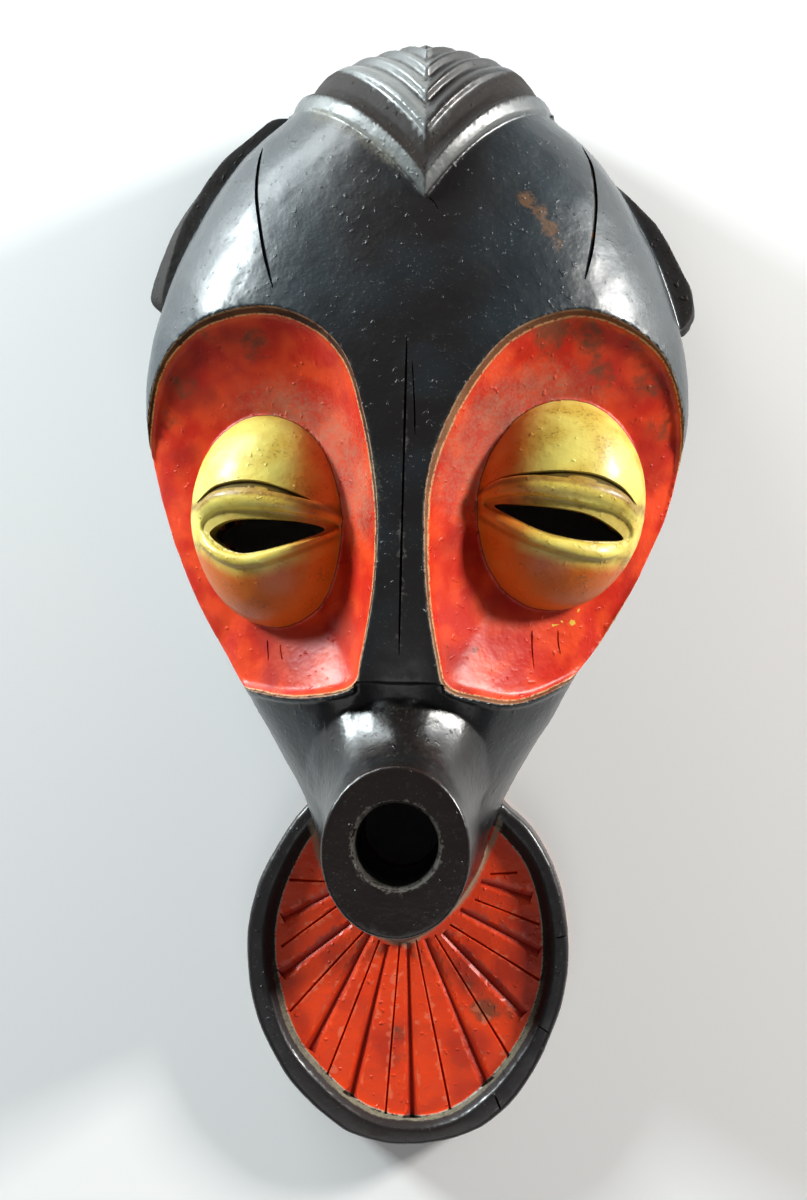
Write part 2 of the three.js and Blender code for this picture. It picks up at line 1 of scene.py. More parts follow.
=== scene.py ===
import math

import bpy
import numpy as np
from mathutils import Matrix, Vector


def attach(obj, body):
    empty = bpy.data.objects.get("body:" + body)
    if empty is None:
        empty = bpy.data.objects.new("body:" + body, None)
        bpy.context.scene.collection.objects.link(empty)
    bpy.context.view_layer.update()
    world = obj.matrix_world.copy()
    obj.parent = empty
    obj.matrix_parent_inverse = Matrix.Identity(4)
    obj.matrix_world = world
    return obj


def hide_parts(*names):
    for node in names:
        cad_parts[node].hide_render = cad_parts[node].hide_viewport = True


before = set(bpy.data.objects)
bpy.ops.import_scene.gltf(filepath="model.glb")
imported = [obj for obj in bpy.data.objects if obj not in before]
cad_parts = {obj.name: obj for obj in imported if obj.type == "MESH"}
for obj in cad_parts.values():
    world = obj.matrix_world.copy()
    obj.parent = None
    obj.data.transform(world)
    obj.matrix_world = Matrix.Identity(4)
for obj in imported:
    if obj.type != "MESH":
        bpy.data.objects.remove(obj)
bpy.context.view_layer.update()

# %% [markdown]
# # A painted terracotta mask
#
# The mask is a hollow shell of fired clay, about 400 mm long, that lies on its back rim. Its face was cut
# and modelled while the clay was soft, so edges are crisp but never machine-sharp, and flat places roll a
# little. Over the clay lie three paints: a blue-black gloss, an orange-red satin and a lemon yellow.
#
# Everything is built here from outlines in millimetres. The bodies are joined and cut the way a potter
# builds the real one, then the whole is remeshed into one skin and worked over. Each paint covers the
# places inside its own borders.

MM = 0.001
TURN = 2 * math.pi
print("frame nodes:", list(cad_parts))

# %% [markdown]
# ## The camera
#
# The photograph was taken from close by, almost straight above the face. A camera that stands 0.8 m up
# and a little to the right gives the same perspective: the mouth tube leans to the lower left and hides
# the chin. The picture is 1200 pixels high, so the sensor's height is tied to the focal length.

# %% Camera
EYE_POINT = Vector((0.046, -0.005, 0.800))
LOOK_AT = Vector((-0.003, 0.0, 0.045))
CAMERA_ROLL = math.radians(-1.15)
PICTURE_HEIGHT = 1200
FOCAL_PIXELS = 2130

camera_data = bpy.data.cameras.new("camera")
camera_data.sensor_fit = "VERTICAL"
camera_data.sensor_height = 36
camera_data.lens = FOCAL_PIXELS / PICTURE_HEIGHT * camera_data.sensor_height
camera = bpy.data.objects.new("camera", camera_data)
bpy.context.collection.objects.link(camera)
bpy.context.scene.camera = camera

forward = (LOOK_AT - EYE_POINT).normalized()
level = forward.cross(Vector((0, 1, 0))).normalized()
upright = level.cross(forward)
right = level * math.cos(CAMERA_ROLL) - upright * math.sin(CAMERA_ROLL)
up = level * math.sin(CAMERA_ROLL) + upright * math.cos(CAMERA_ROLL)
turned = Matrix((right, up, -forward)).transposed().to_4x4()
camera.matrix_world = Matrix.Translation(EYE_POINT) @ turned
print("camera lens, mm:", round(camera_data.lens, 1))

# %% [markdown]
# ## Light and floor
#
# Gloss paint shows its form by what it mirrors. Two soft lamps stand low at the upper left and the upper
# right, and each gives a sheen on its side of the forehead, while the middle of the face stays dark. Wider,
# weaker lamps behind them light the floor and the sides, and one in front of the beard opens the shadows.
# The world is dim, so black paint stays black, and the floor is a plain pale sheet.


# %% Light and floor
def soft_lamp(name, azimuth, elevation, width, height, power, tint):
    """An area lamp in a direction round the mask, in degrees, that points at it."""
    data = bpy.data.lights.new(name, "AREA")
    data.shape = "RECTANGLE"
    data.size, data.size_y = width, height
    data.energy = power
    data.color = tint
    lamp = bpy.data.objects.new(name, data)
    turn, rise = math.radians(azimuth), math.radians(elevation)
    way = Vector((math.cos(rise) * math.cos(turn), math.cos(rise) * math.sin(turn), math.sin(rise)))
    lamp.location = LAMP_AIM + way * LAMP_DISTANCE
    lamp.rotation_euler = (-way).to_track_quat("-Z", "Y").to_euler()
    bpy.context.collection.objects.link(lamp)
    return lamp


LAMP_AIM = Vector((0, 0.03, 0.05))
LAMP_DISTANCE = 1.6
lamps = [
    soft_lamp("lamp left", 148, 15, 0.32, 0.32, 38, (0.88, 0.98, 1.0)),
    soft_lamp("lamp right", 26, 18, 0.26, 0.26, 34, (1.0, 0.98, 0.94)),
    soft_lamp("window right", 34, 9, 0.6, 0.36, 5, (0.9, 0.98, 1.0)),
    soft_lamp("window behind", 124, 11, 0.9, 0.4, 16, (0.9, 0.98, 1.0)),
    soft_lamp("room in front", -90, 48, 1.2, 1.2, 4.5, (1.0, 0.99, 0.97)),
]
world = bpy.data.worlds.new("room")
world.use_nodes = True
world.node_tree.nodes["Background"].inputs["Color"].default_value = (0.9, 0.94, 1.0, 1)
world.node_tree.nodes["Background"].inputs["Strength"].default_value = 0.1
bpy.context.scene.world = world
bpy.context.scene.view_settings.view_transform = "Standard"

FLOOR_SIZE = 6.0
half = FLOOR_SIZE / 2
floor_mesh = bpy.data.meshes.new("floor")
floor_corners = [(-half, -half, 0), (half, -half, 0), (half, half, 0), (-half, half, 0)]
floor_mesh.from_pydata(floor_corners, [], [(0, 1, 2, 3)])
floor = bpy.data.objects.new("floor", floor_mesh)
bpy.context.collection.objects.link(floor)
floor_paint = bpy.data.materials.new("pale floor")
floor_paint.use_nodes = True
floor_shader = floor_paint.node_tree.nodes["Principled BSDF"]
floor_shader.inputs["Base Color"].default_value = (0.94, 0.93, 0.92, 1)
floor_shader.inputs["Roughness"].default_value = 0.6
floor_mesh.materials.append(floor_paint)
print("lamps:", [lamp.name for lamp in lamps])

# %% [markdown]
# ## Curves and bodies
#
# Each form starts as a listed outline. A Catmull-Rom curve through its points gives the smooth line
# that a modelling knife would follow. `reach` tells how far out a place lies inside an outline, which
# lets a height depend on it: that is all a dome needs. `slab` fills the room between two such heights,
# and `loft` skins a row of closed sections.


# %% Curves
def spline(points, places, closed):
    """Places (in points from the first) along a uniform Catmull-Rom curve."""
    points = np.asarray(points, float)
    count = len(points)
    start = np.floor(places).astype(int)
    part = (places - start)[:, None]
    wrap = (lambda i: i % count) if closed else (lambda i: np.clip(i, 0, count - 1))
    a, b, c, d = (points[wrap(start + k)] for k in (-1, 0, 1, 2))
    return 0.5 * (2 * b + (c - a) * part + (2 * a - 5 * b + 4 * c - d) * part ** 2
                  + (3 * b - a - 3 * c + d) * part ** 3)


def closed_curve(points, count):
    """A closed outline through the points, anticlockwise."""
    loop = spline(points, np.arange(count) * len(points) / count, True)
    x, y = loop[:, 0], loop[:, 1]
    area = np.sum(x * np.roll(y, -1) - np.roll(x, -1) * y)
    return loop if area > 0 else loop[::-1]


def open_curve(points, count):
    """A line through the points."""
    return spline(points, np.linspace(0, len(points) - 1, count), False)


def reach(outline, centre):
    """A function of x and y: 0 at the centre, 1 on the outline."""
    loop = closed_curve(outline, 1440) - centre
    angles = np.arctan2(loop[:, 1], loop[:, 0])
    radii = np.hypot(loop[:, 0], loop[:, 1])
    order = np.argsort(angles)

    def share(x, y):
        angle = np.arctan2(y - centre[1], x - centre[0])
        radius = np.interp(angle, angles[order], radii[order], period=TURN)
        return np.hypot(x - centre[0], y - centre[1]) / radius

    return share


def mix(a, b, part):
    """From a to b."""
    return a + (b - a) * part


def smoothstep(low, high, value):
    """0 below low, 1 above high, with soft ends."""
    part = np.clip((value - low) / (high - low), 0, 1)
    return part * part * (3 - 2 * part)


def soft_max(a, b, blend):
    """The larger of two heights, with a rounded change from one to the other."""
    return (a + b + np.hypot(a - b, blend)) / 2


def ring_mean(values, span):
    """The running mean of values on a closed ring, over span steps each way."""
    return sum(np.roll(values, step) for step in range(-span, span + 1)) / (2 * span + 1)


print("spline check:", closed_curve([(0, 0), (1, 0), (1, 1), (0, 1)], 4).tolist())


# %% Bodies
def mesh_object(name, points, faces):
    """A mesh object from places in millimetres."""
    mesh = bpy.data.meshes.new(name)
    mesh.from_pydata((np.asarray(points, float) * MM).tolist(), [], [tuple(face) for face in faces])
    mesh.validate()
    body = bpy.data.objects.new(name, mesh)
    bpy.context.collection.objects.link(body)
    return body


def give(body, name, values):
    """Stores a number or a vector at each place of a body."""
    values = np.asarray(values, np.float32)
    kind, field = ("FLOAT", "value") if values.ndim == 1 else ("FLOAT_VECTOR", "vector")
    body.data.attributes.new(name, kind, "POINT").data.foreach_set(field, values.ravel())


def slab(name, outline, centre, rings, low, high):
    """A closed body over a loop. Each height is a number or a function of x, y and the ring's share."""
    outline = np.asarray(outline, float)
    count = len(outline)
    points = []
    faces = []
    edges = []
    for height, facing_up in ((high, True), (low, False)):
        flat = not callable(height)
        shares = [1.0] if flat else list(rings)
        places = np.concatenate([[centre]] + [centre + (outline - centre) * share for share in shares])
        share_of = np.concatenate([[0.0]] + [np.full(count, share) for share in shares])
        z = np.full(len(places), float(height)) if flat else height(places[:, 0], places[:, 1], share_of)
        base = sum(len(block) for block in points)
        points.append(np.column_stack([places, z]))
        near = np.arange(count)
        after = (near + 1) % count
        inner = base + 1
        sheet = [(base, inner + i, inner + j) for i, j in zip(near, after)]
        for ring in range(1, len(shares)):
            outer = inner + count
            sheet += [(inner + i, outer + i, outer + j, inner + j) for i, j in zip(near, after)]
            inner = outer
        faces += sheet if facing_up else [face[::-1] for face in sheet]
        edges.append(inner)
    top, bottom = edges
    faces += [(bottom + i, bottom + (i + 1) % count, top + (i + 1) % count, top + i) for i in range(count)]
    return mesh_object(name, np.concatenate(points), faces)


def loft(name, sections):
    """A closed body through equal sections, from low to high, with a face at each end."""
    sections = [np.asarray(section, float) for section in sections]
    count = len(sections[0])
    faces = []
    for level in range(len(sections) - 1):
        low, high = level * count, (level + 1) * count
        faces += [(low + i, low + (i + 1) % count, high + (i + 1) % count, high + i) for i in range(count)]
    last = (len(sections) - 1) * count
    faces.append(tuple(range(count))[::-1])
    faces.append(tuple(last + i for i in range(count)))
    return mesh_object(name, np.concatenate(sections), faces)


def volume(body):
    """The signed volume of a closed mesh, in cubic millimetres."""
    body.data.calc_loop_triangles()
    corners = np.empty(len(body.data.vertices) * 3)
    body.data.vertices.foreach_get("co", corners)
    corners = corners.reshape(-1, 3) / MM
    index = np.empty(len(body.data.loop_triangles) * 3, int)
    body.data.loop_triangles.foreach_get("vertices", index)
    a, b, c = (corners[index.reshape(-1, 3)[:, k]] for k in range(3))
    return float(np.sum(a * np.cross(b, c)) / 6)


def outward(body):
    """Turns the faces of a closed mesh outwards, if its volume is negative."""
    if volume(body) < 0:
        body.data.flip_normals()
    return body


cube = slab("test cube", [(0, 0), (10, 0), (10, 10), (0, 10)], (5, 5), [1], 0, 10)
print("test cube, mm3:", round(volume(cube)))
bpy.data.objects.remove(cube)

# %% [markdown]
# ## Joining and cutting
#
# A potter adds a coil or carves a groove; here a Boolean modifier does it, one body after another.


# %% Joining and cutting
def settled(body):
    """Gives an object the mesh that its modifiers make, and takes the modifiers off."""
    view_layer = bpy.context.evaluated_depsgraph_get()
    finished = bpy.data.meshes.new_from_object(body.evaluated_get(view_layer))
    body.modifiers.clear()
    body.data = finished
    return body


def combine(base, operation, *bodies):
    """Joins bodies to the base or cuts them from it, one after another, and removes them."""
    for body in bodies:
        modifier = base.modifiers.new("carve", "BOOLEAN")
        modifier.operation = operation
        modifier.solver = "MANIFOLD"
        modifier.object = body
        settled(base)
        bpy.data.objects.remove(body)
    return base


one, other = (slab("test cube", [(k, 0), (k + 10, 0), (k + 10, 10), (k, 10)], (k + 5, 5), [1], 0, 10)
              for k in (0, 5))
print("two joined cubes, mm3:", round(volume(combine(one, "UNION", other))))
bpy.data.objects.remove(one)

# %% [markdown]
# ## Strips laid along a line
#
# Lids, creases, temple cuts and the fan on the beard are all the same act: one tool drawn along a line.
# A Geometry Nodes tree does this for any number of lines at once. It turns edges into curves, gives the
# tool its size from the `size` attribute and sweeps a polygon along: three sides make a V-shaped cut,
# and sixteen make a rounded roll of clay.


# %% Node helper
class Wire:
    """An output socket that takes part in Python sums: each operator adds one Math node."""

    def __init__(self, graph, socket):
        self.graph = graph
        self.socket = socket

    def maths(self, operation, *values, clamp=False):
        """One Math node on this wire and the values after it."""
        settings = {"operation": operation, "use_clamp": clamp}
        return self.graph.node("ShaderNodeMath", settings, dict(enumerate(values)))

    def __add__(self, other):
        return self.maths("ADD", self, other)

    def __radd__(self, other):
        return self.maths("ADD", other, self)

    def __sub__(self, other):
        return self.maths("SUBTRACT", self, other)

    def __rsub__(self, other):
        return self.maths("SUBTRACT", other, self)

    def __mul__(self, other):
        return self.maths("MULTIPLY", self, other)

    def __rmul__(self, other):
        return self.maths("MULTIPLY", other, self)

    def __truediv__(self, other):
        return self.maths("DIVIDE", self, other)

    def __rtruediv__(self, other):
        return self.maths("DIVIDE", other, self)

    def clamp(self):
        """Kept between 0 and 1."""
        return self.maths("ADD", self, 0.0, clamp=True)

    def between(self, low, high):
        """0 at low and below, 1 at high and above, with soft ends. Low may be the larger."""
        settings = {"interpolation_type": "SMOOTHSTEP"}
        swapped = low > high
        values = {"Value": self, "From Min": min(low, high), "From Max": max(low, high)}
        part = self.graph.node("ShaderNodeMapRange", settings, values)
        return 1 - part if swapped else part

    def larger(self, other):
        """The larger of two values."""
        return self.maths("MAXIMUM", self, other)

    def smaller(self, other):
        """The smaller of two values."""
        return self.maths("MINIMUM", self, other)


class Graph:
    """A node tree written as Python."""

    def __init__(self, tree):
        self.tree = tree

    def node(self, kind, settings=None, values=None, output=0):
        """Adds a node: its settings come first, then a value or a wire for each socket that is named."""
        made = self.tree.nodes.new(kind)
        for name, value in (settings or {}).items():
            setattr(made, name, value)
        for name, value in (values or {}).items():
            if isinstance(value, Wire):
                self.tree.links.new(value.socket, made.inputs[name])
            else:
                made.inputs[name].default_value = value
        return Wire(self, made.outputs[output])

    def named(self, name, kind="FLOAT"):
        """The number or vector that each place of a mesh carries under a name."""
        return self.node("GeometryNodeInputNamedAttribute", {"data_type": kind}, {"Name": name})


def new_geometry_tree(name, inputs):
    """A Geometry Nodes tree with a geometry in and out and named inputs of the given socket types."""
    tree = bpy.data.node_groups.new(name, "GeometryNodeTree")
    tree.interface.new_socket("Geometry", in_out="INPUT", socket_type="NodeSocketGeometry")
    for label, kind in inputs.items():
        tree.interface.new_socket(label, in_out="INPUT", socket_type=kind)
    tree.interface.new_socket("Geometry", in_out="OUTPUT", socket_type="NodeSocketGeometry")
    graph = Graph(tree)
    source = tree.nodes.new("NodeGroupInput")
    wires = {socket.name: Wire(graph, socket) for socket in source.outputs if socket.name}
    return tree, graph, wires


def end_geometry_tree(graph, geometry, material):
    """Closes a tree: instances made real, the material set, the result handed out."""
    real = graph.node("GeometryNodeRealizeInstances", {}, {"Geometry": geometry})
    painted = graph.node("GeometryNodeSetMaterial", {}, {"Geometry": real, "Material": material})
    sink = graph.tree.nodes.new("NodeGroupOutput")
    graph.tree.links.new(painted.socket, sink.inputs[0])


def run_geometry_tree(body, tree, **values):
    """Runs a tree on an object with its inputs set by name, and keeps the result as a plain mesh."""
    modifier = body.modifiers.new(tree.name, "NODES")
    modifier.node_group = tree
    identifiers = {item.name: item.identifier
                   for item in tree.interface.items_tree if item.in_out == "INPUT"}
    for name, value in values.items():
        modifier[identifiers[name]] = value
    return settled(body)


clay_material = bpy.data.materials.new("painted clay")
clay_material.use_nodes = True
print("material:", clay_material.name)

# %% Strip tree
strip_tree, graph, given = new_geometry_tree("strip along a line", {
    "Sides": "NodeSocketInt", "Half Width": "NodeSocketFloat", "Half Height": "NodeSocketFloat",
    "Lift": "NodeSocketFloat", "Material": "NodeSocketMaterial"})
line = graph.node("GeometryNodeMeshToCurve", {}, {"Mesh": given["Geometry"]})
upright_line = graph.node("GeometryNodeSetCurveNormal", {"mode": "Z_UP"}, {"Curve": line})
size = graph.named("size")
sized = graph.node("GeometryNodeSetCurveRadius", {}, {"Curve": upright_line, "Radius": size})
polygon = graph.node("GeometryNodeCurvePrimitiveCircle", {}, {"Resolution": given["Sides"], "Radius": 1.0})
extent = graph.node("ShaderNodeCombineXYZ", {},
                    {"X": given["Half Width"], "Y": given["Half Height"], "Z": 1.0})
lifted = graph.node("ShaderNodeCombineXYZ", {}, {"Y": given["Lift"]})
corner_down = graph.node("GeometryNodeTransform", {},
                         {"Geometry": polygon, "Rotation": (0, 0, math.pi / 2)})
tool = graph.node("GeometryNodeTransform", {},
                  {"Geometry": corner_down, "Scale": extent, "Translation": lifted})
strips = graph.node("GeometryNodeCurveToMesh", {},
                    {"Curve": sized, "Profile Curve": tool, "Fill Caps": True, "Scale": size})
end_geometry_tree(graph, strips, given["Material"])
print("strip tree nodes:", len(strip_tree.nodes))


# %% Strips
def strips_along(name, lines, sizes, sides, half_width, half_height, lift=0.0):
    """One closed strip along each line of places. All lengths are in millimetres."""
    places = np.concatenate(lines)
    edges = []
    start = 0
    for line_places in lines:
        edges += [(start + i, start + i + 1) for i in range(len(line_places) - 1)]
        start += len(line_places)
    mesh = bpy.data.meshes.new(name)
    mesh.from_pydata((places * MM).tolist(), edges, [])
    body = bpy.data.objects.new(name, mesh)
    bpy.context.collection.objects.link(body)
    give(body, "size", np.concatenate(sizes))
    run_geometry_tree(body, strip_tree, **{"Sides": sides, "Half Width": half_width * MM,
                                           "Half Height": half_height * MM, "Lift": lift * MM,
                                           "Material": clay_material})
    return outward(body)


trial_line = np.array([(0, 0, 0), (0, 50, 0), (0, 100, 0)], float)
trial = strips_along("trial", [trial_line], [np.ones(3)], 3, 2, 3)
trial_heights = [vertex.co.z / MM for vertex in trial.data.vertices]
print("a V strip reaches from", round(min(trial_heights), 2), "to", round(max(trial_heights), 2), "mm")
bpy.data.objects.remove(trial)

# %% [markdown]
# ## The head
#
# The head is a pear-shaped dome with a straight side wall. The wall is 46 mm high at the brow and falls to
# 16 mm at the chin, and above it the face rounds over to the nose ridge at 98 mm. One formula gives that
# height anywhere: it stays nearly level in the middle and drops steeply at the outline.

# %% Head outline
FACE_HEIGHT = 98
FACE_CENTRE = np.array((0.0, 40.0))
BROW_WALL = 46
CHIN_WALL = 16
WALL = 9.5
ABOVE = 150

BROW = [(22, 186.3), (35, 179.5), (48.5, 168.5), (57, 161.5), (64.5, 153.5), (71.5, 143.5),
        (78.5, 131.5), (85, 118.5), (90, 104.5), (93.8, 91), (96, 74), (95.6, 60)]
JAW = [(92.6, 46), (88.3, 29), (80.3, 10.5), (73, -3.5), (66, -15), (58.5, -25.5), (51, -40),
       (41, -57.5), (33.5, -72), (25.5, -92), (16, -109), (5, -120), (-4, -122.5), (-13, -120), (-24, -108),
       (-32, -91), (-38.5, -73), (-47.5, -55.5), (-55, -41), (-61.5, -28), (-69, -15.5), (-76, -3.5),
       (-84, 15), (-88.8, 29), (-92.8, 45)]
HEAD = [(0, 191)] + BROW + JAW + [(-x, y) for x, y in reversed(BROW)]
head_reach = reach(HEAD, FACE_CENTRE)


def face_height(x, y):
    """The outer skin of the face, before sockets and muzzle are cut."""
    dx, dy = x - FACE_CENTRE[0], y - FACE_CENTRE[1]
    direction = dy / np.maximum(1e-6, np.hypot(dx, dy))
    wall = mix(CHIN_WALL, BROW_WALL, smoothstep(-1.05, -0.7, direction))
    share = np.minimum(1, head_reach(x, y))
    return wall + (FACE_HEIGHT - wall) * np.sqrt(np.maximum(0, 1 - share ** 2.6))


round_over = np.sin(np.linspace(0.05, 1, 30) * math.pi / 2)
head = slab("head", closed_curve(HEAD, 300), FACE_CENTRE, round_over, 0,
            lambda x, y, share: face_height(x, y))
print("head, cm3:", round(volume(head) / 1000))

# %% [markdown]
# ## The muzzle
#
# Below the nose and the socket rims the face steps down: 8 mm under the nose foot, and less than 2 mm
# under the rims. The cutter's floor is the face itself, lowered by that step, so the jaw keeps its curve.

# %% Muzzle
NOSE_STEP = 8
RIM_STEP = 1.8
MUZZLE = [(-76, -12), (-62, -32.6), (-50.5, -35.2), (-35.6, -36.1), (-17.5, -32.2), (-15.6, -28.2),
          (0, -28), (12.8, -28.2), (14.6, -31.6), (25.9, -35.3), (38, -36.6), (51.5, -31.8), (61.5, -24.6),
          (76, -4), (100, -40), (90, -110), (0, -170), (-90, -110), (-100, -40)]
MUZZLE_CENTRE = np.array((0.0, -90.0))
muzzle_reach = reach(MUZZLE, MUZZLE_CENTRE)


def muzzle_height(x, y):
    """The skin of the muzzle: the face, stepped down."""
    return face_height(x, y) - mix(NOSE_STEP, RIM_STEP, smoothstep(14, 30, np.abs(x)))


muzzle_cut = slab("muzzle cut", closed_curve(MUZZLE, 400), MUZZLE_CENTRE, np.linspace(0.02, 1, 90),
                  lambda x, y, share: muzzle_height(x, y), ABOVE)
combine(head, "DIFFERENCE", muzzle_cut)
print("head with its muzzle, cm3:", round(volume(head) / 1000))

# %% [markdown]
# ## The eye sockets
#
# Each socket is a scoop with its own outline, because the two sides of a hand-made face never match.
# The floor is highest round the eye and falls away to the outer edge of the head. A narrow bevel runs
# round the rim, where the knife trimmed the edge.

# %% Socket outlines
SOCKETS = [
    {
        "side": "left",
        "eye": (-48, 26.5), "eye_size": (28.5, 37.3, 25), "eye_turn": 7, "gaze": (-48, 21.5),
        "outline": [(-50, 97.7), (-70.7, 94.1), (-85.2, 83.3), (-92, 68.4), (-94.6, 48), (-90.4, 24.7),
                    (-82.5, 5.5), (-72, -15.5), (-61.5, -30.4), (-50.5, -33.4), (-35.6, -34.3),
                    (-17.5, -30.4), (-13.6, -20), (-9.8, 2), (-8.8, 22.6), (-10, 40), (-13.9, 60.6),
                    (-20.8, 80.6), (-33, 92.5)],
        "slit": [(-68, 21.2), (-63.5, 24.8), (-56.8, 26.3), (-46.5, 26.3), (-36.3, 25.6), (-28.4, 23.3),
                 (-36.2, 19.4), (-42.9, 17.2), (-49.7, 15.4), (-56.5, 14.6), (-63, 16.8)],
        "recess": [(-71.5, 23.4), (-67, 28.2), (-60, 29.6), (-46.5, 29.3), (-35, 28), (-23.8, 25),
                   (-28, 21.6), (-36.2, 18.6), (-49.7, 14.6), (-57, 13.8), (-65, 16.5)],
        "upper_lid": [(-72.2, 27.5), (-66.5, 31.8), (-59, 33.2), (-47, 32.6), (-38, 30.8), (-30, 28.6),
                      (-23, 26.4)],
        "lower_lid": [(-71.6, 20), (-65, 15), (-57, 12.2), (-49, 12.9), (-41.5, 15.6), (-33, 19.2),
                      (-23.6, 23.6)],
        "crease": [(-73, 32), (-66, 36.6), (-57, 38.4), (-49, 38), (-40, 35.4), (-31, 31.6)],
    },
    {
        "side": "right",
        "eye": (50.6, 34), "eye_size": (30.5, 36.8, 25), "eye_turn": -7, "gaze": (51, 27),
        "outline": [(55.2, 97.8), (35.4, 90), (20.9, 73.5), (11.4, 54.4), (7.2, 38), (6.8, 20), (8.1, -0.2),
                    (11.3, -19.4), (14.6, -29.8), (25.9, -33.5), (38, -34.8), (51.5, -30), (61.5, -22.8),
                    (74, -3), (83, 13.5), (90.5, 33), (94, 54), (92.2, 71.5), (85.4, 85.5), (72, 94.6)],
        "slit": [(29.3, 32.4), (38.1, 32.8), (51.5, 31.7), (62, 29.6), (70.1, 25.3), (73.1, 21.7),
                 (65.1, 20.9), (58.4, 21.1), (51.7, 22.3), (44.9, 24.2), (37, 27.8)],
        "recess": [(25.3, 33.4), (38, 36.1), (51.4, 35), (61.5, 33), (71, 30.4), (76.4, 25.4), (74.5, 20.6),
                   (65.1, 19.8), (51.7, 21.2), (44.9, 23.2), (33, 28.8)],
        "upper_lid": [(24.2, 34.9), (31, 37.9), (42, 39.4), (54, 38.8), (64, 36.8), (72, 33.9),
                      (77.6, 28.6)],
        "lower_lid": [(24.4, 31), (31, 27), (39.5, 22.9), (49, 19.6), (58.5, 17.6), (66, 16.8), (72, 17.8)],
        "crease": [(25.6, 38), (33, 41.2), (45, 43), (55, 43.4), (64, 42.2), (72, 38.6), (77.6, 33.6)],
    },
]
print("socket outlines:", [len(socket["outline"]) for socket in SOCKETS], "points")

# %% Sockets
SOCKET_FLOOR = 60
SOCKET_LEDGE = 43
SOCKET_BLEND = 4
SOCKET_SWING = 2
SOCKET_CURVE = 2.2
SOCKET_BEVEL = 3
BEVEL_SHARE = 0.955
RIM_SPAN = 25
EDGE_SPAN = 14


def socket_floor(socket):
    """A function of x and y: the height of a socket's floor."""
    eye_x, eye_y = socket["eye"]
    share = reach(socket["outline"], (eye_x, eye_y))
    angles = np.linspace(-math.pi, math.pi, 361)[:-1]
    step_x, step_y = np.cos(angles), np.sin(angles)
    radius = 1 / share(eye_x + step_x, eye_y + step_y)
    rim = face_height(eye_x + step_x * radius, eye_y + step_y * radius) - SOCKET_BEVEL
    rim = soft_max(SOCKET_LEDGE, rim, SOCKET_BLEND)
    highest = ring_mean(rim, RIM_SPAN) + SOCKET_SWING
    edge = ring_mean(-soft_max(-rim, -highest, SOCKET_BLEND), EDGE_SPAN)

    def height(x, y):
        angle = np.arctan2(y - eye_y, x - eye_x)
        out = np.minimum(1, share(x, y)) ** SOCKET_CURVE
        return mix(SOCKET_FLOOR, np.interp(angle, angles, edge, period=TURN), out)

    return height


def socket_cut(socket):
    """The scoop of one socket, open at the top."""
    floor_height = socket_floor(socket)
    rings = np.concatenate([np.linspace(0.06, BEVEL_SHARE, 26), [0.97, 0.985, 1.0]])

    def low(x, y, share):
        return floor_height(x, y) + SOCKET_BEVEL * np.clip((share - BEVEL_SHARE) / (1 - BEVEL_SHARE), 0, 1)

    return slab("socket", closed_curve(socket["outline"], 260), np.array(socket["eye"]), rings, low, ABOVE)


for socket in SOCKETS:
    combine(head, "DIFFERENCE", socket_cut(socket))
print("head with its sockets, cm3:", round(volume(head) / 1000))

# %% [markdown]
# ## The eyes
#
# An eye is an egg of clay pressed onto the socket floor. A crease curves over it, a thick upper lid and a
# thinner lower lid are rolled on, the place between them is scooped back, and a slit goes right through.
# The crease and all other knife cuts are kept in a list and made last, so that they stay crisp.

# %% Eyes
EYE_LEVEL = 61
RECESS_DEPTH = 2.2


def eye_height(socket):
    """A function of x and y: the height of the egg's upper skin."""
    eye_x, eye_y = socket["eye"]
    long, tall, deep = socket["eye_size"]
    turn = math.radians(socket["eye_turn"])

    def height(x, y):
        along = (x - eye_x) * math.cos(turn) + (y - eye_y) * math.sin(turn)
        across = (y - eye_y) * math.cos(turn) - (x - eye_x) * math.sin(turn)
        return EYE_LEVEL + deep * np.sqrt(np.maximum(0, 1 - (along / long) ** 2 - (across / tall) ** 2))

    return height


def egg(socket, shrink=0.0):
    """The egg of an eye, made smaller all round by shrink."""
    angles = np.linspace(0, TURN, 97)[:-1]
    turn = math.radians(socket["eye_turn"])
    long, tall, deep = (size - shrink for size in socket["eye_size"])
    sections = []
    for rise in np.linspace(-math.pi / 2, math.pi / 2, 50)[1:-1]:
        along = long * math.cos(rise) * np.cos(angles)
        across = tall * math.cos(rise) * np.sin(angles)
        sections.append(np.column_stack([
            socket["eye"][0] + along * math.cos(turn) - across * math.sin(turn),
            socket["eye"][1] + along * math.sin(turn) + across * math.cos(turn),
            np.full(len(angles), EYE_LEVEL + deep * math.sin(rise))]))
    return loft("egg", sections)


def laid_on(points, count, height, lift=0.0):
    """A line through the points on a surface, and its tapered sizes."""
    line_places = open_curve(points, count)
    z = height(line_places[:, 0], line_places[:, 1]) + lift
    part = np.linspace(0, 1, count)
    ends = np.minimum(1, np.minimum(part, 1 - part) * 5)
    return np.column_stack([line_places, z]), 0.3 + 0.7 * np.sin(ends * math.pi / 2)


V_WIDTH = 1.73
knife_work = []


def cuts_along(name, lines, sizes, half_width, depth):
    """V cuts of a half width at the surface and a depth."""
    return strips_along(name, lines, sizes, 3, half_width * V_WIDTH, depth)


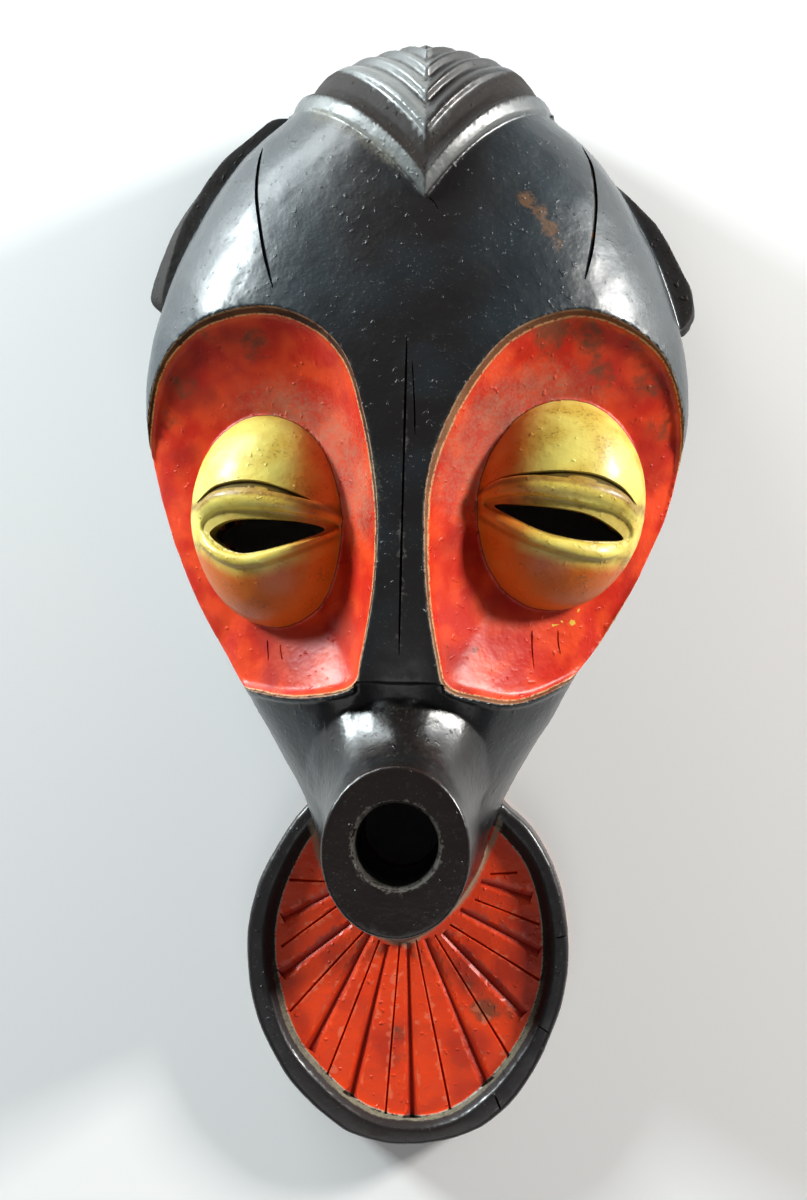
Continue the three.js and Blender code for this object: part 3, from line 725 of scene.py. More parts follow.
for socket in SOCKETS:
    skin = eye_height(socket)
    eye = egg(socket)
    upper_line, upper_size = laid_on(socket["upper_lid"], 60, skin, -0.6)
    lower_line, lower_size = laid_on(socket["lower_lid"], 60, skin, -0.7)
    crease_line, crease_size = laid_on(socket["crease"], 50, skin)
    upper_lid = strips_along("upper lid", [upper_line], [upper_size], 16, 3.3, 2.3)
    lower_lid = strips_along("lower lid", [lower_line], [lower_size], 16, 2.4, 2.2)
    knife_work.append(cuts_along("crease", [crease_line], [crease_size], 1.2, 1.5))
    recess = slab("recess", closed_curve(socket["recess"], 120), np.array(socket["gaze"]),
                  np.linspace(0.1, 1, 10), lambda x, y, share, skin=skin: skin(x, y) - RECESS_DEPTH, ABOVE)
    combine(eye, "UNION", upper_lid, lower_lid)
    combine(eye, "DIFFERENCE", recess)
    combine(head, "UNION", eye)
print("head with its eyes, cm3:", round(volume(head) / 1000))

# %% [markdown]
# ## The mouth
#
# The mouth is a trumpet turned to the viewer. Upwards it flares into the muzzle, whose skin its foot
# follows, and to the sides and downwards it runs nearly straight to the chin, leaning a little to the left
# as it goes. Its lip is flat, with a round bore that is slightly wider at the mouth.

# %% Mouth
MOUTH = {"centre": (0.4, -82.3), "half_width": 24.4, "half_height": 28, "height": 112, "lean": 0.04}
FLARE_UP = [(0, 0), (0.05, 0.19), (0.13, 0.41), (0.28, 0.6), (0.49, 0.76), (0.74, 0.89), (1, 1)]
FLARE_DOWN = [(0, 0), (0.05, 0.08), (0.14, 0.21), (0.27, 0.4), (0.44, 0.63), (0.64, 0.81), (1, 1)]
FLARE_REACH_UP = 21.5
FLARE_REACH_DOWN = 14.8
FLARE_FOOT = 15
FLARE_SUNK = 0.6
FLARE_LEVEL = 80
TUBE_BOTTOM = 5
LIP_ROUND = 0.7
BORE = [(0.5, -80.2, 16.5, ABOVE), (0.5, -80.2, 15.4, 113), (0.5, -80.2, 14.2, 111),
        (0.4, -80.2, 13.7, 108), (-0.6, -80.3, 13.3, 80), (-1.5, -80.4, 13, 40)]


def ring_of(centre, radius, z, count=96):
    """A level circle."""
    angles = np.linspace(0, TURN, count + 1)[:-1]
    return np.column_stack([centre[0] + radius * np.cos(angles), centre[1] + radius * np.sin(angles),
                            np.full(count, float(z))])


def mouth_tube():
    """The trumpet, from its lip to its foot on the muzzle, or on the beard where it is off the head."""
    angles = np.linspace(0, TURN, 145)[:-1]
    across, along = np.cos(angles), np.sin(angles)
    upward = smoothstep(-0.25, 0.7, along)
    chinward = 0.5 + 0.5 * along ** 6
    reach_out = mix(FLARE_REACH_DOWN * chinward, FLARE_REACH_UP, smoothstep(0.05, 1, along))

    def ring(out, z):
        middle = MOUTH["centre"][0] - MOUTH["lean"] * (MOUTH["height"] - z)
        x = middle + across * (MOUTH["half_width"] + out)
        return x, MOUTH["centre"][1] + along * (MOUTH["half_height"] + out)

    foot_x, foot_y = ring(reach_out, mix(FLARE_FOOT, FLARE_LEVEL, upward))
    off_head = smoothstep(0.93, 1, head_reach(foot_x, foot_y))
    drop = MOUTH["height"] - mix(muzzle_height(foot_x, foot_y) - FLARE_SUNK, FLARE_FOOT, off_head)
    places = np.linspace(0, len(FLARE_UP) - 1, 64)
    sections = []
    for (out_up, down_up), (out_down, down_down) in zip(spline(FLARE_UP, places, False),
                                                        spline(FLARE_DOWN, places, False)):
        out = reach_out * mix(out_down, out_up, upward) - LIP_ROUND * (not sections)
        z = MOUTH["height"] - drop * mix(down_down, down_up, upward)
        sections.append(np.column_stack([*ring(out, z), z]))
    bottom = np.full(len(angles), float(TUBE_BOTTOM))
    sections.append(np.column_stack([*ring(reach_out * 0.9, bottom), bottom]))
    return outward(loft("mouth", sections))


tube = mouth_tube()
combine(head, "UNION", tube)
print("head with its mouth, cm3:", round(volume(head) / 1000))

# %% [markdown]
# ## The hair crest
#
# The hair is a stack of shingled chevrons over the crown. All of them are one rule repeated: a long tread
# that sinks slowly and a short riser that steps up to the next. A closed sheet is laid over the crown,
# each place knows how far it lies behind the front edge, and a Geometry Nodes tree lifts it by the rule.

# %% Crest sheet
CREST_HALF_WIDTH = 47
CREST_TIP = 134.5
CREST_RISE = 36.5
CREST_SPREAD = 50
CREST_CURVE = 1.9
CREST_LEAN = 4.4
CREST_STRAIGHT = 88
CREST_DEPTH = 5
GLANCE = 2
PATH_STEPS = 65
PATH_END = -130.0
FRONT_BAND = [(0, -1.5), (0.5, 1.5), (7, 4.6), (8.2, 2.8), (13.5, 2.2), (21.8, 4.1), (22.6, 5.6), (26, 5.6)]
RIDGE_PITCH = 11.4
RIDGE_COUNT = 9
crown_line = closed_curve(HEAD, 1440)
crown_line = crown_line[(crown_line[:, 1] > 150) & (np.abs(crown_line[:, 0]) < 60)]
crown_line = crown_line[np.argsort(crown_line[:, 0])]


def crest_front(x):
    """How far up the face the crest's front edge lies at an x."""
    return CREST_TIP + CREST_RISE * (1 - (1 - np.minimum(1, np.abs(x) / CREST_SPREAD)) ** CREST_CURVE)


def crown_path(x, lengths):
    """Places on the head's profile at one x, by length from the crest's front, and the way out there."""
    back = np.interp(x, crown_line[:, 0], crown_line[:, 1]) - 0.01
    y = mix(crest_front(x), back, np.sin(np.linspace(0, math.pi / 2, PATH_STEPS)))
    z = face_height(np.full(PATH_STEPS, x), y)
    y, z = np.append(y, back), np.append(z, PATH_END)
    travelled = np.concatenate([[0], np.cumsum(np.hypot(np.diff(y), np.diff(z)))])
    place_y, place_z = np.interp(lengths, travelled, y), np.interp(lengths, travelled, z)
    forward_y, forward_z = (np.interp(lengths + GLANCE, travelled, part)
                            - np.interp(lengths - GLANCE, travelled, part) for part in (y, z))
    run = np.hypot(forward_y, forward_z)
    return place_y, place_z, -forward_z / run, forward_y / run


def crest_sheet():
    """The closed sheet: its upper side can be lifted, its lower side lies inside the head."""
    lengths = np.arange(0, FRONT_BAND[-1][0] + RIDGE_PITCH * RIDGE_COUNT, 0.6)
    columns = np.linspace(-CREST_HALF_WIDTH, CREST_HALF_WIDTH, 95)
    band = np.interp(lengths, *np.transpose(FRONT_BAND))
    sections, along, front_band, way_out = [], [], [], []
    for x in columns:
        y, z, out_y, out_z = crown_path(x, lengths)
        away = abs(x) / CREST_HALF_WIDTH
        lean = CREST_LEAN * np.maximum(0, 1 - (lengths / CREST_STRAIGHT) ** 2) * (1 - away)
        top = np.column_stack([x + lean, y, z])
        sunk = np.column_stack([x + lean, y - out_y * CREST_DEPTH, z - out_z * CREST_DEPTH])
        sections.append(np.concatenate([top, sunk[::-1]]))
        along.append(np.concatenate([lengths, lengths[::-1]]))
        front_band.append(np.concatenate([band, band[::-1]]))
        flatter = 1 - 0.2 * away ** 2
        lift = np.column_stack([np.zeros(len(y)), out_y * flatter, out_z * flatter])
        way_out.append(np.concatenate([lift, np.zeros_like(lift)]))
    sheet = loft("crest", sections)
    for name, values in (("along", along), ("band", front_band), ("way out", way_out)):
        give(sheet, name, np.concatenate(values))
    return sheet


crest = crest_sheet()
print("crest sheet places:", len(crest.data.vertices))

# %% Chevron tree
GROWTH = (72, 108)
CHEVRON_SIZES = ("Start", "Pitch", "Tread", "Depth", "Front Height", "Back Height")
chevron_tree, graph, given = new_geometry_tree("chevrons", {
    **{name: "NodeSocketFloat" for name in CHEVRON_SIZES}, "Material": "NodeSocketMaterial"})
along = graph.named("along")
band = graph.named("band")
way_out = graph.named("way out", "FLOAT_VECTOR")
steps = (along - given["Start"]) / given["Pitch"]
phase = steps.maths("FRACT", steps)
sunken = (phase / given["Tread"]).smaller((1 - phase) / (1 - given["Tread"]))
rounded = sunken * sunken * 0.35 + sunken * 0.65
growth = along.between(*GROWTH)
ridge_top = given["Front Height"] + (given["Back Height"] - given["Front Height"]) * growth
past_band = along.maths("GREATER_THAN", along, given["Start"])
height = past_band * (ridge_top - given["Depth"] * rounded) + (1 - past_band) * band
lift = graph.node("ShaderNodeVectorMath", {"operation": "SCALE"}, {0: way_out, "Scale": height * MM})
lifted = graph.node("GeometryNodeSetPosition", {}, {"Geometry": given["Geometry"], "Offset": lift})
end_geometry_tree(graph, lifted, given["Material"])
run_geometry_tree(crest, chevron_tree, **{
    "Start": float(FRONT_BAND[-1][0]), "Pitch": RIDGE_PITCH, "Tread": 0.76, "Depth": 3.0,
    "Front Height": 5.6, "Back Height": 9.4, "Material": clay_material})
outward(crest)
combine(head, "UNION", crest)
print("chevrons:", RIDGE_COUNT, "at", RIDGE_PITCH, "mm")
print("head with its crest, cm3:", round(volume(head) / 1000))

# %% [markdown]
# ## The fins
#
# A fin stands out along each side of the brow. It is a flat slab of clay with a stepped end, widest a
# little behind its front face, and its root lies inside the head.

# %% Fins
FIN_LEVELS = [12, 33, 43]
FIN_ROOT = (-14, -8)
FIN_TUCK = 4
FINS = [
    ([(-47, 171.6), (-54.5, 170.8), (-61, 167.2), (-69, 160.4), (-76, 153), (-84, 142.5), (-90.5, 131.5),
      (-95.4, 119.5), (-98.5, 108.5), (-96, 104)],
     [(-47, 172), (-53.3, 171.2), (-58.5, 167.4), (-66.5, 160.7), (-72.4, 155), (-79.5, 144.5),
      (-84.5, 135.5), (-88.1, 126), (-92.5, 106.7), (-90, 103.2)]),
    ([(58, 157), (63.2, 154.2), (69, 149.8), (76.4, 143.5), (83.8, 136.1), (89.2, 128.3), (94, 119.5),
      (97.6, 112.3), (98.5, 103), (96, 99)],
     [(58, 156), (62.6, 153.4), (68.2, 149.2), (75.6, 142.9), (83, 135.5), (88.2, 127.7), (92.8, 119),
      (96.3, 112), (97.3, 103.6), (93.5, 97.6)]),
]


def fin(wide, front):
    """A fin from its back to its front face."""
    side = math.copysign(1, wide[0][0])
    root = [(x + side * FIN_ROOT[0], y + FIN_ROOT[1]) for x, y in wide]
    root[-1] = (root[-1][0], root[-1][1] + FIN_TUCK)
    count = 46
    sections = []
    for outer, level in zip((wide, wide, front), FIN_LEVELS):
        line_places = np.concatenate([open_curve(outer, count), open_curve(root[::-1], count)])
        sections.append(np.column_stack([line_places, np.full(len(line_places), float(level))]))
    return outward(loft("fin", sections))


for wide, front in FINS:
    combine(head, "UNION", fin(wide, front))
print("head with its fins, cm3:", round(volume(head) / 1000))

# %% [markdown]
# ## The beard plate
#
# The beard is a flat oval plate with a raised rim. Its sunk field is cut with a fan: broad V cuts that
# widen outwards, and a thin scored line between each two.

# %% Beard
BEARD_OUTLINE = [(33.3, -73.6), (44.1, -83.6), (53.6, -100.9), (58.2, -123.4), (56.6, -145.1),
                 (47.8, -169.1), (36.2, -186), (20, -196.6), (-1.5, -200.5), (-16, -198.4), (-26.5, -193.6),
                 (-41, -181), (-51.5, -165.5), (-58, -148.7), (-60.4, -125.5), (-57, -106.6),
                 (-48.7, -89.4), (-39.7, -76.6), (-24, -62), (0, -56), (22, -60)]
BEARD_FIELD = [(32.3, -79.1), (45.4, -94.2), (52, -115), (52.5, -137.9), (46, -159.5), (33, -178.6),
               (17, -191.4), (-0.3, -194.6), (-17, -190.6), (-32, -179.5), (-45.7, -163.1), (-53.4, -138.5),
               (-54, -119), (-49, -101), (-38.1, -82.4), (-20, -70), (0, -66), (18, -68)]
BEARD_CENTRE = np.array((-1.0, -132.0))
BEARD_RIM = 17
BEARD_FLOOR = 12
FIELD_SLOPE = 0.925
JAW_FOOT = [(31.5, -79), (25.2, -95.1), (18.1, -108.2), (3.6, -122.2), (-3.8, -125.4), (-16.9, -119.1),
            (-28.3, -105.8), (-35, -88.6), (-35, -60), (31, -60)]
WIDE_CUTS = [((-48, -119), (-29.5, -109)), ((-48, -140), (-22.5, -120)), ((-37, -167.5), (-15, -123.5)),
             ((-21, -184.5), (-8.5, -127.5)), ((2, -192.5), (-1, -126.5)), ((29.5, -178), (5.5, -125)),
             ((42.5, -152), (12, -122.5)), ((48, -128.5), (18, -114)), ((44.5, -108.5), (25.5, -103.5))]
THIN_CUTS = [((-45.5, -104.5), (-30.5, -105)), ((-48, -129.5), (-26.5, -113)),
             ((-44.5, -153.5), (-17.5, -123)), ((-30, -176.5), (-11.5, -126)), ((-8, -190.5), (-4, -126.5)),
             ((16, -188), (2, -125.5)), ((37.5, -167.5), (9, -123.5)), ((48, -139), (14.5, -119.5)),
             ((47.5, -118.5), (23.5, -110)), ((39, -99.5), (29, -100.5))]


def shrunk(outline, distance):
    """An outline moved inwards."""
    ahead, behind = np.roll(outline, -1, axis=0), np.roll(outline, 1, axis=0)
    way = (ahead - behind) / np.linalg.norm(ahead - behind, axis=1)[:, None]
    return outline - np.column_stack([way[:, 1], -way[:, 0]]) * distance


def at_level(outline, z):
    """A flat outline as places at one height."""
    return np.column_stack([outline, np.full(len(outline), float(z))])


def fan(name, cuts, half_width, depth, narrow):
    """The cuts of one kind as one body, each narrowing to its inner end."""
    lines = [np.column_stack([np.linspace(outer, inner, 12), np.full(12, float(BEARD_FLOOR))])
             for outer, inner in cuts]
    return cuts_along(name, lines, [np.linspace(1, narrow, 12)] * len(cuts), half_width, depth)


beard_loop = closed_curve(BEARD_OUTLINE, 260)
beard_levels = [(0, 0), (0, BEARD_RIM - 1.8), (0.5, BEARD_RIM - 0.6), (1.7, BEARD_RIM)]
beard = loft("beard", [at_level(shrunk(beard_loop, inset), z) for inset, z in beard_levels])
field = slab("field", closed_curve(BEARD_FIELD, 240), BEARD_CENTRE, [0.5, FIELD_SLOPE, 0.95, 0.975, 1.0],
             lambda x, y, share: mix(BEARD_FLOOR, BEARD_RIM, smoothstep(FIELD_SLOPE, 1, share)), ABOVE)
knife_work.append(fan("wide cuts", WIDE_CUTS, 2.6, 2.1, 0.5))
knife_work.append(fan("thin cuts", THIN_CUTS, 0.65, 1.2, 0.8))
combine(beard, "DIFFERENCE", field)
combine(head, "UNION", beard)
print("head with its beard, cm3:", round(volume(head) / 1000))

# %% [markdown]
# ## Cuts in the face
#
# A knife line marks each temple, and a long one runs down the nose with a short second stroke beside it.
# Small slips of the knife lie in the sockets, at the tip of the hair and on the beard's rim.

# %% Knife lines
TEMPLE_LEFT = [(-54.3, 156.8), (-54.8, 148.1), (-54.4, 138.1), (-52.3, 126.6), (-49.8, 115.6),
               (-46.3, 103.8)]
TEMPLE_RIGHT = [(57, 159.3), (60.5, 150.6), (61.9, 138.4), (61.6, 128.8), (60.6, 119.4), (58.4, 108.5)]
NOSE_LINE = [(-0.3, 87.4), (-0.4, 50), (-0.9, -18.6)]
NOSE_STROKE = [(1.6, 79.1), (2.6, 66), (3.1, 54.2)]
MARKS_LEFT = [[(-49.5, -15), (-49.3, -18), (-48.9, -22)], [(-44.6, -16.6), (-44.2, -19), (-43.6, -21.8)]]
MARKS_RIGHT = [[(42.8, -9.6), (43, -16), (43.8, -23.4)], [(51.8, -9.5), (52, -14), (52.7, -18.1)]]
TIP_SCRATCH = [(5.4, 134.7), (7.4, 133), (8.9, 130.2)]
RIM_NICKS = [[(53.4, -122.6), (56, -122), (59, -121)], [(46.5, -154), (49.5, -156), (52.5, -158)],
             [(32.5, -181), (34, -184.5), (36, -189)]]


def scored(name, lines, height, half_width, depth):
    """Knife cuts along lines on a surface, tapering to their ends."""
    laid = [laid_on(points, 40, height) for points in lines]
    return cuts_along(name, [line for line, _ in laid], [size for _, size in laid], half_width, depth)


knife_work += [
    scored("temple cuts", [TEMPLE_LEFT, TEMPLE_RIGHT], face_height, 0.65, 1.7),
    scored("nose line", [NOSE_LINE], face_height, 0.45, 1.3),
    scored("fine strokes", [NOSE_STROKE, TIP_SCRATCH], face_height, 0.35, 0.6),
    scored("marks left", MARKS_LEFT, socket_floor(SOCKETS[0]), 0.35, 0.6),
    scored("marks right", MARKS_RIGHT, socket_floor(SOCKETS[1]), 0.35, 0.6),
    scored("rim nicks", RIM_NICKS, lambda x, y: np.full(len(x), float(BEARD_RIM)), 0.4, 0.8),
]
print("cuts that wait:", [cut.name for cut in knife_work])

# %% [markdown]
# ## One skin
#
# The bodies meet in edges that no wet clay would hold. A voxel remesh makes one even skin of them, a few
# rounds of relaxing take the steps out of it, and every place keeps to its form within a few tenths of a
# millimetre. The knife cuts come after that.


# %% Skin
VOXEL = 0.64
RELAX_ROUNDS = 6


def corners_of(mesh):
    """The places of a mesh, in millimetres."""
    places = np.empty(len(mesh.vertices) * 3, np.float32)
    mesh.vertices.foreach_get("co", places)
    return places.reshape(-1, 3).astype(float) / MM


def neighbours(mesh):
    """The two ends of every edge, and the number of edges at each place."""
    ends = np.empty(len(mesh.edges) * 2, np.int32)
    mesh.edges.foreach_get("vertices", ends)
    ends = ends.reshape(-1, 2)
    return ends, np.bincount(ends.ravel(), minlength=len(mesh.vertices))


def average(values, ends, counts):
    """The mean of each place's neighbours."""
    first, second = ends.T
    count = len(values)
    totals = [np.bincount(first, column[second], count) + np.bincount(second, column[first], count)
              for column in values.T]
    return np.stack(totals, axis=1) / counts[:, None]


def relax(body, rounds, amount):
    """Evens out a skin. Each round moves places to their neighbours and back, so it keeps its size."""
    ends, counts = neighbours(body.data)
    places = corners_of(body.data)
    for _ in range(rounds):
        places += (average(places, ends, counts) - places) * amount
        places -= (average(places, ends, counts) - places) * (amount + 0.02)
    body.data.vertices.foreach_set("co", (places * MM).astype(np.float32).ravel())
    body.data.update()


remeshing = head.modifiers.new("skin", "REMESH")
remeshing.mode = "VOXEL"
remeshing.voxel_size = VOXEL * MM
settled(head)
relax(head, RELAX_ROUNDS, 0.6)
print("skin:", len(head.data.polygons), "faces; cm3:", round(volume(head) / 1000))

# %% [markdown]
# ## Hand-worked clay
#
# Thumbs and a damp sponge leave the surface slightly wavy: about a quarter of a millimetre over the width
# of a finger, and less in finer grain. A Geometry Nodes tree moves each place along its normal by two
# layers of noise.

# %% Clay tree
clay_tree, graph, given = new_geometry_tree("worked clay", {
    "Wave Size": "NodeSocketFloat", "Wave Depth": "NodeSocketFloat", "Grain Size": "NodeSocketFloat",
    "Grain Depth": "NodeSocketFloat", "Material": "NodeSocketMaterial"})
place = graph.node("GeometryNodeInputPosition")
normal = graph.node("GeometryNodeInputNormal")
offset = 0
for kind in ("Wave", "Grain"):
    noise = graph.node("ShaderNodeTexNoise", {}, {"Vector": place, "Scale": 1.0 / given[kind + " Size"],
                                                  "Detail": 1.5, "Roughness": 0.5})
    offset = offset + (noise - 0.5) * given[kind + " Depth"] * 2
move = graph.node("ShaderNodeVectorMath", {"operation": "SCALE"}, {0: normal, "Scale": offset})
worked = graph.node("GeometryNodeSetPosition", {}, {"Geometry": given["Geometry"], "Offset": move})
end_geometry_tree(graph, worked, given["Material"])


def work_clay(body):
    """Gives a body its hand-worked surface."""
    return run_geometry_tree(body, clay_tree, **{
        "Wave Size": 17 * MM, "Wave Depth": 0.45 * MM, "Grain Size": 4 * MM, "Grain Depth": 0.12 * MM,
        "Material": clay_material})


work_clay(head)
print("worked skin, cm3:", round(volume(head) / 1000))

# %% [markdown]
# ## Fewer triangles, then the knife
#
# The even skin is thinned: flat places lose most of their triangles, and edges keep theirs. The knife cuts
# are made in the thinned skin.

# %% Thinning and knife cuts
TRIANGLES = 185000
thinning = head.modifiers.new("thinning", "DECIMATE")
thinning.use_collapse_triangulate = True
thinning.ratio = TRIANGLES / (2 * len(head.data.polygons))
settled(head)
print("thinned to", len(head.data.polygons), "triangles")
knife = knife_work.pop(0)
combine(knife, "UNION", *knife_work)
combine(head, "DIFFERENCE", knife)
print("with its knife cuts:", len(head.data.polygons), "triangles; cm3:", round(volume(head) / 1000))

# %% [markdown]
# ## The hollow
#
# Clay of this size is hollowed from behind so that it dries and fires evenly. The inner roof follows the
# outer skin at the wall's thickness: each place takes the lowest skin within a wall's reach, less a drop
# that rounds the corners. The slits and the bore then open into it.


# %% Hollow
HOLLOW_CENTRE = np.array((0.0, 20.0))


def outer_height(x, y):
    """The outer skin with muzzle and sockets, without the eyes and the mouth."""
    z = np.where(muzzle_reach(x, y) < 1, muzzle_height(x, y), face_height(x, y))
    for socket_share, floor_height in socket_floors:
        z = np.where(socket_share(x, y) < 1, np.minimum(z, floor_height(x, y)), z)
    return z


def roof_height(x, y):
    """The inner roof at the wall's thickness under the skin."""
    lowest = outer_height(x, y) - WALL
    for part in (0.4, 0.7, 0.95):
        drop = WALL * math.sqrt(1 - part ** 2)
        for angle in np.arange(12) * TURN / 12:
            near_x, near_y = x + WALL * part * math.cos(angle), y + WALL * part * math.sin(angle)
            lowest = np.minimum(lowest, outer_height(near_x, near_y) - drop)
    return lowest


socket_floors = [(reach(socket["outline"], socket["eye"]), socket_floor(socket)) for socket in SOCKETS]
inner_loop = shrunk(closed_curve(HEAD, 180), WALL)
hollow_share = reach(inner_loop[::6], HOLLOW_CENTRE)
hollow = slab("hollow", inner_loop, HOLLOW_CENTRE, np.sin(np.linspace(0.06, 1, 30) * math.pi / 2), -1,
              lambda x, y, share: roof_height(x, y))
combine(hollow, "UNION", *[egg(socket, WALL) for socket in SOCKETS])
work_clay(hollow)
slits = [slab("slit", closed_curve(socket["slit"], 120), np.array(socket["gaze"]), [1], 20, ABOVE)
         for socket in SOCKETS]
bore = outward(loft("bore", [ring_of((x, y), radius, z) for x, y, radius, z in BORE]))
under = slab("under", [(-200, -300), (200, -300), (200, 300), (-200, 300)], (0, 0), [1], -200, 0)
combine(hollow, "UNION", bore, under, *slits)
combine(head, "DIFFERENCE", hollow)
head.data.attributes.remove(head.data.attributes["size"])
print("hollow shell, cm3:", round(volume(head) / 1000), "against the frame's",
      round(volume(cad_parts["mask"]) / 1000))

# %% [markdown]
# ## Where each paint lies
#
# The painter followed the forms: red fills a socket almost to its rim and the beard's field up to its
# slope, yellow covers an eye, and black everything else that shows. So each place of the skin is given its
# distance, in millimetres, from those borders. Distances blend evenly over a triangle, which keeps the
# painted edges sharp and smooth. A strip of bare brown clay is left at the sockets' rims, wide at the top
# and next to nothing at the outer side.

# %% Distances
NOT_HERE = -50.0
EYE_FOOT = 0.9
BELOW_PAINT = 1.6
BORDER_SLOPE = 4
STRIP_WIDTHS = {
    "left": (0.9, 1.6, 1.9, 1.2, 0.3, 0.3, 0.5, 0.8),
    "right": (0.3, 0.8, 1.6, 1.9, 1.2, 0.9, 1.2, 0.5),
}


def inside_of(outline, centre, x, y):
    """How far inside an outline a place lies, in millimetres along the line from the centre."""
    share = reach(outline, centre)(x, y)
    radius = np.hypot(x - centre[0], y - centre[1]) / np.maximum(share, 1e-6)
    return (1 - share) * radius


def hollowness(body, rounds):
    """How far, in millimetres, each place lies under the mean of its surroundings. Edges are negative."""
    ends, counts = neighbours(body.data)
    places = corners_of(body.data)
    mean = places.copy()
    for _ in range(rounds):
        mean += (average(mean, ends, counts) - mean) * 0.7
    normals = np.empty(len(places) * 3, np.float32)
    body.data.vertices.foreach_get("normal", normals)
    return np.sum((mean - places) * normals.reshape(-1, 3), axis=1)


print("strip of bare clay, mm:", STRIP_WIDTHS)

# %% Round the eyes
x, y, z = corners_of(head.data).T
nowhere = np.full(len(x), NOT_HERE)
socket_inside, red_inside, eye_above, ochre_shade, fold_shade, eye_dust = (nowhere.copy() for _ in range(6))
for socket, (_, floor_height) in zip(SOCKETS, socket_floors):
    eye_x, eye_y = socket["eye"]
    noseward = math.copysign(1, -eye_x)
    over_floor = z - floor_height(x, y)
    on_floor = (over_floor + BELOW_PAINT) * BORDER_SLOPE
    inside = np.minimum(inside_of(socket["outline"], socket["eye"], x, y), on_floor)
    angle = np.arctan2(y - eye_y, x - eye_x)
    strip = np.interp(angle, np.arange(8) * TURN / 8, STRIP_WIDTHS[socket["side"]], period=TURN)
    long, tall, _ = socket["eye_size"]
    from_eye = np.hypot((x - eye_x) / (long + 4), (y - eye_y) / (tall + 3))
    under_lid = np.interp(x, *np.transpose(socket["lower_lid"])) - y
    over_lid = y - np.interp(x, *np.transpose(socket["upper_lid"]))
    under_crease = np.interp(x, *np.transpose(socket["crease"])) - y
    # Painted shade: the band under the crease, the scooped place between the lids and a line under the
    # lower lid are darkened with brown.
    in_fold = smoothstep(0.6, 1.8, over_lid) * smoothstep(-0.8, 0.4, under_crease)
    scooped = smoothstep(1.02, 0.9, reach(socket["recess"], socket["gaze"])(x, y)) * 0.6
    under_line = smoothstep(1.4, 0.4, np.abs(under_lid - 2.6)) * 0.7
    in_fold = np.maximum.reduce([in_fold, scooped, under_line])
    # Painted shade: the nose side of each eye and the part below its lower lid turn orange, as if lit only
    # by the red socket.
    side = smoothstep(3, 17, noseward * (x - eye_x)) * 0.9
    near_eye = smoothstep(1.75, 1.0, from_eye)
    upper_nose = smoothstep(-0.3, 0.9, np.cos(angle - math.pi / 2 + noseward * 0.7))
    socket_inside = np.maximum(socket_inside, inside)
    red_inside = np.maximum(red_inside, inside - strip)
    eye_above = np.maximum(eye_above, np.where(from_eye < 1, over_floor - EYE_FOOT, NOT_HERE))
    ochre_shade = np.maximum(ochre_shade, np.where(from_eye < 1, np.maximum(smoothstep(2, 8, under_lid), side), 0))
    fold_shade = np.maximum(fold_shade, np.where(from_eye < 1, in_fold, 0))
    eye_dust = np.maximum(eye_dust, near_eye * (0.25 + 0.75 * upper_nose))
print("places:", len(x), "; round the eyes:", int(np.sum(socket_inside > 0)))

# %% Beard and back
FIELD_RADIUS = 55
FOOT_BARE = 0.7
ROOF_BARE = 3
FURTHEST = 9
field_share = reach(BEARD_FIELD, BEARD_CENTRE)(x, y)
field_inside = inside_of(BEARD_FIELD, BEARD_CENTRE, x, y) - (1 - FIELD_SLOPE) * FIELD_RADIUS
field_inside = np.minimum(field_inside, (BEARD_FLOOR + BELOW_PAINT - z) * BORDER_SLOPE)
red_inside = np.maximum(red_inside, field_inside)
bare_depth = np.where(hollow_share(x, y) < 1, roof_height(x, y) + ROOF_BARE - z, FOOT_BARE - z)
borders = {"socket": socket_inside, "red": red_inside, "yellow": eye_above, "bare": bare_depth}
for name, distance in borders.items():
    give(head, name, np.clip(distance, -FURTHEST, FURTHEST))
give(head, "ochre_shade", ochre_shade)
give(head, "fold_shade", fold_shade)
print("red places:", int(np.sum(red_inside > 0)), "; yellow places:", int(np.sum(eye_above > 0)))

# %% [markdown]
# ## Dust, stains and wear
#
# Nobody dusts under a mask's nose. Dust lies round the eyes on the side of the nose, in a thick grey collar
# round the foot of the mouth, along the lower slope of the beard and under the hair. Brown stains lie on
# the red, and on the right of the forehead the black has worn through to the clay.

# %% Dust and stains
RED_STAINS = [(-53, 86, 7, 0.8), (-70, 86, 6, 0.6), (-80, 73, 7, 0.7), (-87, 61, 6, 0.5),
              (-26, -14, 5, 0.5), (-20, -4, 5, 0.4), (48, 90, 9, 0.9), (61, 91, 7, 0.8), (76, 90, 7, 0.7),
              (65, 79, 7, 0.8), (82, 76, 8, 0.7), (86, 62, 8, 0.5), (85, 52, 6, 0.3),
              (23.6, -16.8, 1.6, 1.0), (27, -150, 6, 1.0), (23, -142, 5, 0.8), (-4, -160, 4, 0.9),
              (-3.5, -170, 4, 0.7), (-41, -112, 4, 0.5), (-34, -104, 4, 0.5), (-16, -181, 5, 0.4),
              (37, -150, 5, 0.6), (7.7, -147, 4, 0.5), (20, -170, 6, 0.4), (-24, -148, 4, 0.4)]
WORN_PATCHES = [(38, 135.5, 3.6, 1.0), (43, 131, 3.6, 0.9), (46.5, 125.5, 3.6, 1.0), (49, 120, 3, 0.8),
                (61, 124.7, 1.8, 1.0), (-2.5, 111, 2.6, 0.5), (26, 110, 2.6, 0.5)]
SPATTERS = [(57, -6.6, 2.1, 1.0), (53.5, -6.6, 1.2, 1.0), (59, -2.5, 0.9, 1.0), (50, -8, 0.8, 1.0)]
JAW_CENTRE = (-1.5, -95)
FOOT_TOP = 19
HEAD_LEVEL = 40
UNDER_NOSE_Y = -43


def spotted(x, y, spots):
    """The strength of round spots at places: each is x, y, radius and strength, and fades outwards."""
    total = np.zeros(len(x))
    for spot_x, spot_y, radius, strength in spots:
        far = np.hypot(x - spot_x, y - spot_y) / radius
        total = np.maximum(total, strength * smoothstep(1.6, 0.3, far))
    return total


